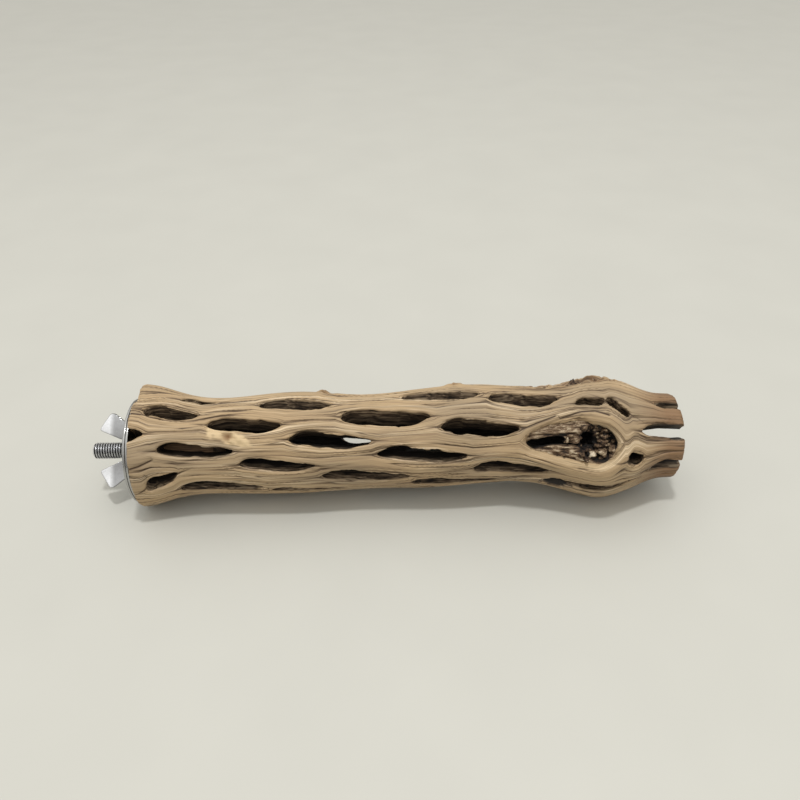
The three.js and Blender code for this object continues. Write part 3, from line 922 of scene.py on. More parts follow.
def cholla_wood(settings):
    """Weathered cholla wood, unfinished: matt tan skin with long dark grain lines that flow round the
    eyes, greyer patches where the sun reached it, a redder tip, and brown fibrous walls inside. Painted
    shade darkens the deep walls and the pits, painted light makes the walls paler high up, and a
    painted highlight lies on the rim below the large scar."""
    material, tree, shader = new_material("cholla wood, weathered")
    given = {
        name: add(tree, "ShaderNodeAttribute", attribute_name=name).outputs["Fac"]
        for name in ("wall", "crack", "crack_side", "pale", "brown")
    }
    grain = add(tree, "ShaderNodeAttribute", attribute_name="grain").outputs["Vector"]
    apart = add(tree, "ShaderNodeSeparateXYZ", grain).outputs
    noise = grain_noise(tree, grain, GRAIN_PATTERNS | RELIEF_PATTERNS, roughness=0.6)
    tone = add(tree, "ShaderNodeMix", {0: 0.5, 2: noise["lines"], 3: noise["streaks"]})
    fibres = add(tree, "ShaderNodeMix", {0: 0.5, 2: noise["lines"], 3: noise["fibres"]})

    # Dark lines and cracks, which are the same as in the relief
    parts = given | noise | {"along": apart["X"], "height": apart["Z"], "tone": tone}
    steps = [
        ("side", "Math ABSOLUTE", "crack_side"),
        ("side", "MapRange", "side", 0.3 * CRACK_HALF, 1.3 * CRACK_HALF, 1, 0),
        ("dark", "Math MULTIPLY", "side", "crack"),
    ]
    for name in THIN_LINES:
        steps += [*thin_lines(name), ("dark", "Math MAXIMUM", "dark", f"drawn {name}")]
    # Painted shade makes the walls almost black in the hollow, and painted light makes them less so high up,
    # where the light from above falls on them
    steps += [
        ("deep", "MapRange", "wall", 0.15, 0.58),
        ("bleached", "MapRange", "height", 7, 17, 1, 0.5),
        ("deep", "Math MULTIPLY", "deep", "bleached"),
        ("into wall", "MapRange", "wall", 0.015, 0.07),
        ("grey", "MapRange", "patches", 0.42, 0.66, 0, 0.6),
        ("tip", "MapRange", "along", 231, 247, 0, 0.8),
        ("roughness", "MapRange", "tone", 0.3, 0.7, 0.85, 0.6),
    ]
    add_steps(tree, parts, steps)

    colour = set_ramp(
        add(tree, "ShaderNodeValToRGB", tone),
        [(0.36, settings.dark), (0.45, settings.middle), (0.51, settings.middle), (0.62, settings.pale)],
    )
    walls = set_ramp(
        add(tree, "ShaderNodeValToRGB", fibres), [(0.4, "#20170f"), (0.5, settings.inside), (0.6, "#b39e82")]
    )
    # Painted shade: the walls go almost black towards the hollow
    walls = add(tree, "ShaderNodeMix", {0: parts["deep"], 6: walls, 7: paint("#17100a")}, data_type="RGBA")
    for share, layer in (
        ("grey", paint("#93826a")),
        ("tip", paint("#7d5c3e")),
        ("dark", paint("#3f2c1a")),
        # pale: the fresh wood of the chip, and the painted highlight on the rim below the large scar
        ("pale", paint("#d3ba92")),
        ("brown", paint("#76532f")),
        ("into wall", walls),
    ):
        colour = add(tree, "ShaderNodeMix", {0: parts[share], 6: colour, 7: layer}, data_type="RGBA")
    bump = add(tree, "ShaderNodeBump", {"Height": noise["lines"], "Strength": 0.5, "Distance": 0.35 * MM})
    look = {"Base Color": colour, "Roughness": parts["roughness"], "IOR": 1.5, "Normal": bump}
    set_inputs(tree, shader, look)
    return material


def dried_pith():
    """Dried cactus pith, crumbled: matt, with brown and a few pale nodules, and almost black with painted
    shade on the bowl's floor and at the feet of the nodules.
    """
    material, tree, shader = new_material("cactus pith, crumbled")
    place = add(tree, "ShaderNodeTexCoord").outputs["Object"]
    shade = add(tree, "ShaderNodeAttribute", attribute_name="shade").outputs["Fac"]
    in_bowl = add(tree, "ShaderNodeAttribute", attribute_name="top").outputs["Fac"]
    # Flecks 1.2 mm wide in the bowl, and fibres 0.7 mm wide and 4 mm long beside it
    flecks = add(
        tree, "ShaderNodeTexNoise", {"Vector": place, "Scale": 1 / (1.2 * MM), "Detail": 4, "Roughness": 0.65}
    )
    stretched = add(tree, "ShaderNodeVectorMath", place, stretch(4 * MM, 0.7 * MM), operation="MULTIPLY")
    fibres = add(
        tree,
        "ShaderNodeTexNoise",
        {"Vector": stretched, "Scale": 1, "Detail": 3, "Roughness": 0.7, "Distortion": 0.6},
    )
    grain = add(tree, "ShaderNodeMix", {0: in_bowl, 2: fibres, 3: flecks})
    strong = add(tree, "ShaderNodeMapRange", grain, 0.28, 0.72)
    both = add(tree, "ShaderNodeMix", {0: 0.6, 2: strong, 3: shade})
    colour = set_ramp(
        add(tree, "ShaderNodeValToRGB", both),
        [(0.26, "#0a0603"), (0.4, "#2f1f13"), (0.52, "#6a533d"), (0.65, "#a69378"), (0.8, "#dccdb4")],
    )
    bump = add(tree, "ShaderNodeBump", {"Height": grain, "Strength": 0.7, "Distance": 0.4 * MM})
    set_inputs(tree, shader, {"Base Color": colour, "Roughness": 0.85, "Normal": bump})
    return material


def zinc_plate(zinc, name, scratch_mm, roughness, dents=0.05):
    """Bright zinc plate on steel: a pale mirror-like metal, dulled by fine scratches and handling, with
    painted shade in the roots of a thread and painted dark reflections about the nut's hub and on the
    edges of its wings."""
    material, tree, shader = new_material(name)
    place = add(tree, "ShaderNodeTexCoord").outputs["Object"]
    root = add(tree, "ShaderNodeAttribute", attribute_name="root").outputs["Fac"]
    scratches = add(
        tree, "ShaderNodeTexNoise", {"Vector": place, "Scale": 1 / (scratch_mm * MM), "Detail": 3}
    )
    dulled = add(tree, "ShaderNodeMapRange", scratches, 0.3, 0.7, roughness * 0.7, roughness * 1.4)
    tone = set_ramp(
        add(tree, "ShaderNodeValToRGB", scratches), [(0.3, [0.92 * c for c in zinc]), (0.6, zinc)]
    )
    # Painted shade and painted dark reflections, where the root attribute marks them
    painted_dark = add(tree, "ShaderNodeMapRange", root, 0.1, 0.7, 0, 0.93)
    tone = add(tree, "ShaderNodeMix", {0: painted_dark, 6: tone, 7: paint("#26241f")}, data_type="RGBA")
    bump = add(tree, "ShaderNodeBump", {"Height": scratches, "Strength": dents, "Distance": 0.05 * MM})
    set_inputs(tree, shader, {"Base Color": tone, "Roughness": dulled, "Metallic": 1, "Normal": bump})
    return material


def turned_dowel():
    """Turned beech dowel: brown, with straight pores along it, and kept dark with painted shade, as it sits
    in shade inside the base.
    """
    material, tree, shader = new_material("beech dowel, turned")
    place = add(tree, "ShaderNodeTexCoord").outputs["Object"]
    # Pores 0.6 mm wide and 8 mm long
    stretched = add(tree, "ShaderNodeVectorMath", place, stretch(8 * MM, 0.6 * MM), operation="MULTIPLY")
    pores = add(tree, "ShaderNodeTexNoise", {"Vector": stretched, "Scale": 1, "Detail": 3})
    colour = set_ramp(add(tree, "ShaderNodeValToRGB", pores), [(0.35, "#4a3524"), (0.65, "#7a5f42")])
    bump = add(tree, "ShaderNodeBump", {"Height": pores, "Strength": 0.3, "Distance": 0.2 * MM})
    set_inputs(tree, shader, {"Base Color": colour, "Roughness": 0.75, "Normal": bump})
    return material


def table_top(settings):
    """Painted table top: pale, smooth and matt."""
    material, tree, shader = new_material("table paint, matt")
    place = add(tree, "ShaderNodeTexCoord").outputs["Object"]
    # Faint clouds 60 mm wide
    clouds = add(tree, "ShaderNodeTexNoise", {"Vector": place, "Scale": 1 / (60 * MM), "Detail": 2})
    colour = set_ramp(
        add(tree, "ShaderNodeValToRGB", clouds),
        [(0.3, [0.97 * c for c in settings.floor]), (0.7, settings.floor)],
    )
    set_inputs(tree, shader, {"Base Color": colour, "Roughness": 0.6})
    return material


# The stem


def outline_distance(places):
    """Distance to the eyes for places on the unrolled stem, as (along, arc) in millimetres."""
    return distance_to_eyes(places[:, 0], places[:, 1] / STEM_RADIUS)


def stem_sheet():
    """The unrolled stem with its eyes cut out: places as (along, arc) in millimetres, and triangles."""
    i, j = grid_places(STEPS_ALONG + 1, STEPS_ROUND)
    period = FULL_TURN * STEM_RADIUS
    points = np.stack([STEM_LENGTH * i / STEPS_ALONG, period * (j + (i % 2) / 2) / STEPS_ROUND], axis=1)
    triangles = triangle_grid(STEPS_ALONG, STEPS_ROUND, closed=True)
    return cut_sheet(points, triangles, outline_distance, (i == 0) | (i == STEPS_ALONG), period)


def skin_marks(along, turn):
    """What the material and the relief read from the skin, as named values for each of its points."""
    from_scar = distance_to_eyes(along, turn, SCAR_EYES)
    # Painted highlight: a pale band on the rim below the large scar, where the light falls on its rolled lip
    below = ramp(-wrap(turn - SCARS[MAIN_SCAR]["turn"]), 0, LIT_RIM["turn"])
    lit_rim = LIT_RIM["share"] * bell(from_scar - LIT_RIM["offset"], LIT_RIM["reach"]) * below
    patchy = np.clip(CRUMBLY_RIM["mean"] + skin_lumps(along, turn, CRUMBLY_RIM["length"], seed=14), 0, 1)
    brown = np.maximum(CRUMBLY_RIM["share"] * near_broken_scar(along, turn) * patchy, pits(along, turn)[1])
    spread = CRUMBLY_KNOT["spread"] * skin_lumps(along, turn, CRUMBLY_KNOT["length"], seed=15)
    for knot in BROKEN_KNOTS:
        near = CRUMBLY_KNOT["share"] * bell(away_from(knot, along, turn), CRUMBLY_KNOT["reach"])
        brown = np.maximum(brown, near * (CRUMBLY_KNOT["mean"] + spread))
    side, strength = crack_lines(along, turn)
    # The pale mark is the fresh wood of the chip, and the painted highlight on the lit rim
    pale = np.maximum(ramp(chip_share(along, turn), *CHIP_EDGE["pale"]), lit_rim)
    return {"pale": pale, "brown": brown, "crack_side": side, "crack": strength}


def stem_mesh():
    """The stem's wall before its relief, with the attributes that its relief and its material read."""
    sheet, triangles = stem_sheet()
    along, turn = sheet[:, 0], sheet[:, 1] / STEM_RADIUS
    distance = distance_to_eyes(along, turn)
    outer = outer_radius(along, turn, distance)
    inner = inner_radius(along, turn)
    faces, rim = thick_faces(triangles, len(sheet), len(WALL_BANDS) - 2)

    # Into the eyes from their rims. The sawn ends stay flat
    slope = sheet_slope(outline_distance, sheet[rim])
    into = -slope / np.maximum(np.linalg.norm(slope, axis=1), 1e-3)[:, None]
    at_end = (along[rim] < AT_END) | (along[rim] > STEM_LENGTH - AT_END)
    into[at_end, 0] = 0
    into[at_end & (np.abs(distance[rim]) > AT_OUTLINE)] = 0

    flow = grain_turn(along, turn)
    places = [stem_points(along, turn, outer), stem_points(along, turn, inner)]
    grain = [cylinder(along, flow), cylinder(along, flow, HOLLOW_RADIUS)]
    # Painted shade: the pits' darkness is stored as wall depth, so that they take the dark colour of deep
    # walls
    wall = [pits(along, turn)[2], np.ones(len(sheet))]
    for share in WALL_BANDS[1:-1]:
        radius = outer[rim] + (inner[rim] - outer[rim]) * share
        torn = [along[rim] / WALL_LUMPS["length"], turn[rim] * WALL_LUMPS["to_a_radian"]]
        rough = lumps(np.stack([*torn, radius / WALL_LUMPS["depth"]], axis=1), seed=4)
        reach = (WALL_ROUGHNESS * rough - WALL_UNDERCUT) * math.sin(math.pi * share)
        place = sheet[rim] + into * reach[:, None]
        places.append(stem_points(place[:, 0], place[:, 1] / STEM_RADIUS, radius))
        grain.append(cylinder(along[rim], flow[rim], radius))
        wall.append(np.where(at_end, SAWN_WALL, share))
    obj = new_object("cholla_wood_stem", np.concatenate(places), faces)
    set_attribute(obj, "grain", "FLOAT_VECTOR", np.concatenate(grain))
    set_attribute(obj, "wall", "FLOAT", np.concatenate(wall))
    rest = np.zeros(len(obj.data.vertices) - len(sheet))
    for name, values in skin_marks(along, turn).items():
        set_attribute(obj, name, "FLOAT", np.concatenate([values, rest]))
    return obj


def relief_tree(material):
    """Geometry Nodes: ridges, drying cracks and torn walls, laid along the grain."""
    heights = ("Rope height", "Ridge height", "Groove depth", "Wall roughness")
    tree, given, out = new_tree("grain relief", dict.fromkeys(heights, "NodeSocketFloat"))
    grain = add(tree, "GeometryNodeInputNamedAttribute", {"Name": "grain"}, data_type="FLOAT_VECTOR")
    parts = {name: given[name] for name in heights} | grain_noise(tree, grain, RELIEF_PATTERNS, roughness=0.5)
    for name in ("wall", "crack", "crack_side"):
        parts[name] = add(tree, "GeometryNodeInputNamedAttribute", {"Name": name}, data_type="FLOAT")
    steps = (
        *thin_lines("cracks"),
        ("side", "Math ABSOLUTE", "crack_side"),
        ("side", "MapRange", "side", 0, 2 * CRACK_HALF, 1, 0),
        ("named", "Math MULTIPLY", "side", "crack"),
        ("opened", "Math MAXIMUM", "drawn cracks", "named"),
        ("drop", "Math MULTIPLY", "opened", "Groove depth"),
        ("ridge", "Math SUBTRACT", "ridges", 0.5),
        ("ridge", "Math MULTIPLY", "ridge", "Ridge height"),
        ("rope", "Math SUBTRACT", "ropes", 0.5),
        ("rope", "Math MULTIPLY", "rope", "Rope height"),
        ("rise", "Math ADD", "ridge", "rope"),
        ("rise", "Math MULTIPLY", "rise", 2),
        ("skin", "Math SUBTRACT", "rise", "drop"),
        ("torn", "Math SUBTRACT", "fibres", 0.5),
        ("torn", "Math MULTIPLY", "torn", "Wall roughness"),
        ("on skin", "MapRange", "wall", 0, 0.05, 1, 0),
    )
    add_steps(tree, parts, steps)
    height = add(tree, "ShaderNodeMix", {0: parts["on skin"], 2: parts["torn"], 3: parts["skin"]})
    return end_tree(tree, push_out(tree, given["Geometry"], height), material, out)


def thin_inside(obj):
    """Take triangles away from the hollow and the deep walls, which are seen least."""
    depth = np.zeros(len(obj.data.vertices))
    obj.data.attributes["wall"].data.foreach_get("value", depth)
    group = obj.vertex_groups.new(name="inside")
    group.add(np.flatnonzero(depth > DEEP_WALL).tolist(), 1.0, "REPLACE")
    thinner = obj.modifiers.new("thin inside", "DECIMATE")
    thinner.vertex_group = group.name
    thinner.ratio = min(1, STEM_TRIANGLES / len(obj.data.polygons))
    keep_modified(obj)
    obj.vertex_groups.clear()


class CHOLLA_OT_stem(bpy.types.Operator):
    """Cut the cholla stem and lay its grain"""

    bl_idname = "cholla.stem"
    bl_label = "Cholla stem"

    def execute(self, context):
        wood = context.scene.cholla_perch.wood
        stem = stem_mesh()
        run_tree(
            stem,
            relief_tree(cholla_wood(wood)),
            {
                "Rope height": wood.rope_height,
                "Ridge height": wood.ridge_height,
                "Groove depth": wood.groove_depth,
                "Wall roughness": wood.wall_roughness,
            },
        )
        thin_inside(stem)
        keep_in_box(stem, "cholla_stem")
        smooth(stem, sharpest=55)
        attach(stem, "perch")
        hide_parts("cholla_stem")
        return {"FINISHED"}


# The branch scars

# The sheet of pith: its grid, its size beyond the scar, and how far it reaches into the wood and down
PITH_STEP = 0.45
PITH_MARGIN = 2
PITH_THICKNESS = 4.5
PITH_ROOT = 0.7
PITH_SUNK = {MAIN_SCAR: 0, BROKEN_SCAR: 1.6}
# The large scar, from its widest place: the round bowl, the slot, the hole and the nodules, in millimetres.
# The upper scar has the same, smaller and the other way round
BOWL = {"run": 5, "radius": 9.5, "rim": 2.2, "depth": 7.5, "steep": 6, "edge": 1.12, "blend": 0.25}
LEDGE = {"rim": 1.4, "drop": 2.4, "reach": 2.6}
LEDGE_SHADE = {"mean": 0.52, "flap": 0.06, "shadow": 0.3, "fibres": 0.26}
LEDGE_FIBRES = {"length": 3.5, "width": 0.9, "height": 0.5, "on_flap": 0.6}
FLAP = {"rim": 0.6, "side": 4.9, "end": -3, "side_blend": 0.4, "end_blend": 1.5}
FLAP_SHADOW = {"offset": 0.9, "reach": 0.7, "start": (-22, -18), "end": (8, 11)}
SLOT = {"start": -24.6, "end": -13, "side": 0.9, "half": 2.8, "dip": 1.9, "dip_reach": 5, "wander": 0.5}
SPLIT = {"start": -13, "end": -2, "side": -1, "half": 0.6, "wander": 0.3}
HOLE = {"run": 0.1, "side": 1.6, "half_length": 3.4, "half_width": 4.7}
HOLE_WANDER = {"reach": 0.9, "length": 2.2}
CRUMBLE = {"coarse": 2.2, "coarse_height": 0.6, "fine": 1.0, "fine_height": 0.35}
CRUMBS = {"in_bowl": 0.9, "shade": (0.5, 0.1), "shade_seed": 3, "dent": 1.0}
# How the nodules swell, and the painted shade that darkens each one from its top to its foot
NODULE = {"swell": 0.3, "lump": 1.6, "least": 0.4, "foot_shade": 0.25, "cap_shade": 0.8}
# Nodules of dried pith: run, side, half length, half width, height, and shade from dark to pale
NODULES = (
    (1.8, -6.3, 2.6, 1.5, 5.2, 1),
    (6, -5.4, 2.6, 2.4, 4.8, 0.7),
    (10.9, -3.8, 2.5, 2.2, 4.2, 0.55),
    (10.6, -7.2, 1.6, 1.3, 3.6, 0.5),
    (3.6, 4.6, 1.7, 1.2, 3.8, 0.74),
    (7.4, 5.8, 2.2, 1.7, 4, 0.6),
    (7.4, 3, 2.6, 1.3, 4.2, 0.66),
    (6.9, 0.4, 3.4, 1.2, 3.8, 0.55),
    (4.4, -2, 2.8, 1.3, 3.8, 0.48),
    (8.2, -1.6, 2.4, 1, 3.6, 0.64),
    (4.3, 7.6, 2.4, 1.5, 3.8, 0.44),
    (-1.7, 6.6, 2.2, 1.8, 3.4, 0.5),
    (-6, 1.2, 2.8, 2.2, 2.6, 0.55),
    (-9.4, 1.2, 0.8, 2, 2.6, 0.85),
    (-8, 3.4, 1.6, 1.1, 2.4, 0.62),
    (-0.5, -4.6, 1.8, 1.3, 3.2, 0.36),
    (-3, -5.6, 1.8, 1.5, 3, 0.42),
    (-1.5, -8, 1.2, 1, 3.4, 0.45),
)


def pith_scale(number):
    """Size of a scar against the large one, negative where it is the other way round."""
    size = SCARS[number]["width"] / SCARS[MAIN_SCAR]["width"]
    return size if number == MAIN_SCAR else -size


def slot_side(run):
    """Where the slot runs: straight, with a dip at its end."""
    return SLOT["side"] - SLOT["dip"] * bell(run - SLOT["start"], SLOT["dip_reach"])


def pith_distance(scar, scale, places):
    """Distance inside the pith of a scar: it fills the scar and leaves its hole and slot open."""
    along = scar.along + places[:, 0]
    turn = scar.turn + places[:, 1] / scar.radius
    fill = PITH_ROOT - distance_to_eye(scar, along, turn)
    run, side = places[:, 0] / abs(scale), places[:, 1] / scale
    flat = np.stack([run / HOLE_WANDER["length"], side / HOLE_WANDER["length"], np.zeros(len(run))], axis=1)
    wander = HOLE_WANDER["reach"] * lumps(flat, seed=6)
    wider = HOLE["half_width"] / HOLE["half_length"]
    hole = np.hypot(run - HOLE["run"], (side - HOLE["side"]) / wider) - HOLE["half_length"] + wander
    least = np.minimum(fill, hole)
    for gap, middle in ((SLOT, slot_side(run)), (SPLIT, SPLIT["side"])):
        past = run - np.clip(run, gap["start"], gap["end"])
        least = np.minimum(least, np.hypot(past, side - middle) - gap["half"] + gap["wander"] * wander)
    return least


def pith_surface(run, side):
    """Depth of the pith below the skin of the large scar, its shade, and how far it is in the bowl."""
    flat = np.stack([run, side, np.zeros(len(run))], axis=1)
    away = np.hypot(run - BOWL["run"], side) / BOWL["radius"]
    bowl = BOWL["rim"] + (BOWL["depth"] - BOWL["rim"]) * np.sqrt(np.clip(1 - away ** BOWL["steep"], 0, 1))
    ledge = LEDGE["rim"] + LEDGE["drop"] * bell(side - slot_side(run), LEDGE["reach"])
    on_flap = ramp(side - FLAP["side"], -FLAP["side_blend"], FLAP["side_blend"])
    on_flap = on_flap * ramp(FLAP["end"] - run, -FLAP["end_blend"], FLAP["end_blend"])
    ledge = ledge + (FLAP["rim"] - ledge) * on_flap
    in_bowl = ramp(BOWL["edge"] - away, 0, BOWL["blend"])
    fibres = lumps(flat * (1 / LEDGE_FIBRES["length"], 1 / LEDGE_FIBRES["width"], 1), seed=16)
    fibres = fibres * (1 - LEDGE_FIBRES["on_flap"] * on_flap)
    depth = ledge + (bowl - ledge) * in_bowl - LEDGE_FIBRES["height"] * fibres * (1 - in_bowl)
    shadow = bell(side - FLAP["side"] + FLAP_SHADOW["offset"], FLAP_SHADOW["reach"])
    shadow = shadow * ramp(run, *FLAP_SHADOW["start"]) * ramp(-run, *FLAP_SHADOW["end"])
    shade = LEDGE_SHADE["mean"] + LEDGE_SHADE["flap"] * on_flap - LEDGE_SHADE["shadow"] * shadow
    # Painted shade: the floor of the bowl is left at shade 0, almost black
    shade = (shade + LEDGE_SHADE["fibres"] * fibres) * (1 - in_bowl)
    lift = np.zeros(len(run))
    for at_run, at_side, half_length, half_width, height, pale in NODULES:
        swell = 1 + NODULE["swell"] * lumps(flat / NODULE["lump"] + at_run, seed=17)
        off = np.hypot((run - at_run) / half_length, (side - at_side) / half_width) / swell
        cap = height * np.sqrt(np.clip(1 - off**2, 0, 1))
        # Painted shade: a nodule is darker at its foot and paler towards its top
        cap_shade = pale * (NODULE["foot_shade"] + NODULE["cap_shade"] * cap / height)
        shade = np.where(cap > np.maximum(lift, NODULE["least"]), cap_shade, shade)
        lift = np.maximum(lift, cap)
    crumble = CRUMBLE["coarse_height"] * np.abs(lumps(flat / CRUMBLE["coarse"], seed=8))
    crumble = crumble + CRUMBLE["fine_height"] * lumps(flat / CRUMBLE["fine"], seed=9)
    return depth - lift - crumble * in_bowl, np.clip(shade, 0, 1), in_bowl


def pith_mesh(number):
    """The lumpy plug of pith in one scar."""
    scar = spiral_eye(number)
    scale = pith_scale(number)
    length = scar.to_base + scar.to_tip + 2 * PITH_MARGIN
    width = SCARS[number]["width"] + 2 * PITH_MARGIN
    along_steps = round(length / PITH_STEP)
    round_steps = round(width / PITH_STEP)
    i, j = grid_places(along_steps + 1, round_steps + 1)
    run = -scar.to_base - PITH_MARGIN + length * i / along_steps
    side = -width / 2 + width * (j + (i % 2) / 2) / round_steps
    sheet, triangles = cut_sheet(
        np.stack([run, side], axis=1),
        triangle_grid(along_steps, round_steps, closed=False),
        lambda p: pith_distance(scar, scale, p),
        np.zeros(len(run), dtype=bool),
    )
    along = scar.along + sheet[:, 0]
    turn = scar.turn + sheet[:, 1] / scar.radius
    depth, shade, in_bowl = pith_surface(sheet[:, 0] / abs(scale), sheet[:, 1] / scale)
    top = skin_radius(along, turn) - depth * abs(scale) - PITH_SUNK[number]
    bottom = top - PITH_THICKNESS
    faces, rim = thick_faces(triangles, len(sheet), 1)
    points = np.concatenate(
        [
            stem_points(along, turn, top),
            stem_points(along, turn, bottom),
            stem_points(along[rim], turn[rim], (top[rim] + bottom[rim]) / 2),
        ]
    )
    obj = new_object(f"scar_pith_{number}", points, faces)
    below = np.zeros(len(points) - len(sheet))
    set_attribute(obj, "top", "FLOAT", np.concatenate([in_bowl, below]))
    set_attribute(obj, "shade", "FLOAT", np.concatenate([shade, below]))
    return obj


def crumb_tree(material):
    """Geometry Nodes: crumbs scattered over the top of the pith, kept together with it."""
    sockets = dict.fromkeys(("Density", "Smallest", "Largest"), "NodeSocketFloat")
    tree, given, out = new_tree("pith crumbs", sockets | {"Seed": "NodeSocketInt"})
    seed = given["Seed"]
    top = add(tree, "GeometryNodeInputNamedAttribute", {"Name": "top"}, data_type="FLOAT")
    on_top = add(tree, "FunctionNodeCompare", top, CRUMBS["in_bowl"], operation="GREATER_THAN")
    points = add(
        tree,
        "GeometryNodeDistributePointsOnFaces",
        {"Mesh": given["Geometry"], "Selection": on_top, "Density": given["Density"], "Seed": seed},
    )
    crumb = add(tree, "GeometryNodeMeshIcoSphere", {"Radius": 1.0, "Subdivisions": 1})
    sizes = {"Min": given["Smallest"], "Max": given["Largest"], "Seed": seed}
    size = add(tree, "FunctionNodeRandomValue", sizes, data_type="FLOAT")
    turns = {"Max": (FULL_TURN, FULL_TURN, FULL_TURN), "Seed": seed}
    spin = add(tree, "FunctionNodeRandomValue", turns, data_type="FLOAT_VECTOR")
    placed = add(
        tree,
        "GeometryNodeInstanceOnPoints",
        {"Points": points, "Instance": crumb, "Rotation": spin, "Scale": size},
    )
    shade = add(tree, "FunctionNodeRandomValue", {"Seed": CRUMBS["shade_seed"]}, data_type="FLOAT")
    shade = add(tree, "ShaderNodeMath", shade, *CRUMBS["shade"], operation="MULTIPLY_ADD")
    shaded = add(
        tree,
        "GeometryNodeStoreNamedAttribute",
        {"Geometry": placed, "Name": "shade", "Value": shade},
        data_type="FLOAT",
        domain="INSTANCE",
    )
    real = add(tree, "GeometryNodeRealizeInstances", shaded)

    # Crumbs are broken, not round
    dents = add(tree, "ShaderNodeTexNoise", {"Scale": 1 / (CRUMBS["dent"] * MM), "Detail": 1})
    dent = add(tree, "ShaderNodeMath", dents, 0.5, operation="SUBTRACT")
    dent = add(tree, "ShaderNodeMath", dent, given["Largest"], operation="MULTIPLY")
    joined = add(tree, "GeometryNodeJoinGeometry", given["Geometry"])
    set_inputs(tree, joined, {0: push_out(tree, real, dent)})
    return end_tree(tree, joined, material, out)


class CHOLLA_OT_scars(bpy.types.Operator):
    """Fill the branch scars with crumbled pith"""

    bl_idname = "cholla.scars"
    bl_label = "Scar pith"

    def execute(self, context):
        pith = context.scene.cholla_perch.pith
        tree = crumb_tree(dried_pith())
        values = {"Density": pith.density, "Smallest": pith.smallest, "Largest": pith.largest}
        values["Seed"] = pith.seed
        for number in SCARS:
            piece = pith_mesh(number)
            run_tree(piece, tree, values)
            keep_in_box(piece, "cholla_stem")
            smooth(piece, sharpest=60)
            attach(piece, "perch")
        return {"FINISHED"}


# The hardware

# Points that are nearer than this are one point, in metres
WELD = 1e-7
# The bolt: its grid, the depths of its threads, its far point and its chamfers
BOLT_SIDES = 48
THREAD_SAMPLES = 10
MACHINE_DEPTH = 0.7
WOOD_DEPTH = 1.1
BOLT_POINT = 6
BLUNT_POINT = 0.01
BOLT_CHAMFER = 1
WOOD_CHAMFER = 0.2
WASHER = {"radius": 25, "hole": 4.4, "edge": 0.4, "sides": 144}
# The nut's hub, as distance out from its foot and radius
NUT_PROFILE = ((0, 4.6), (0, 7.6), (0.3, 7.8), (6.6, 6.35), (7, 5.9), (7, 4.8), (6.6, 4.3), (0.3, 4.3))
NUT_SIDES = 64
NUT_VOXEL = 0.22
NUT_ROUNDING = {"factor": 0.5, "iterations": 12}
# Where painted dark reflections darken the nut: its hub, over distances out from the foot, and the edges of
# its wings
NUT_PAINTED_DARK = {"root": 0.45, "out": (15.5, 11.5), "edge": 0.6, "facing": (0.06, 0.25), "away": (7, 8.5)}
# The wings, and how they bend beyond a distance from the bolt
WING_THICKNESS = 2
WING_TURN = math.radians(54)
WING_BEND = {"rate": 0.012, "start": 6}


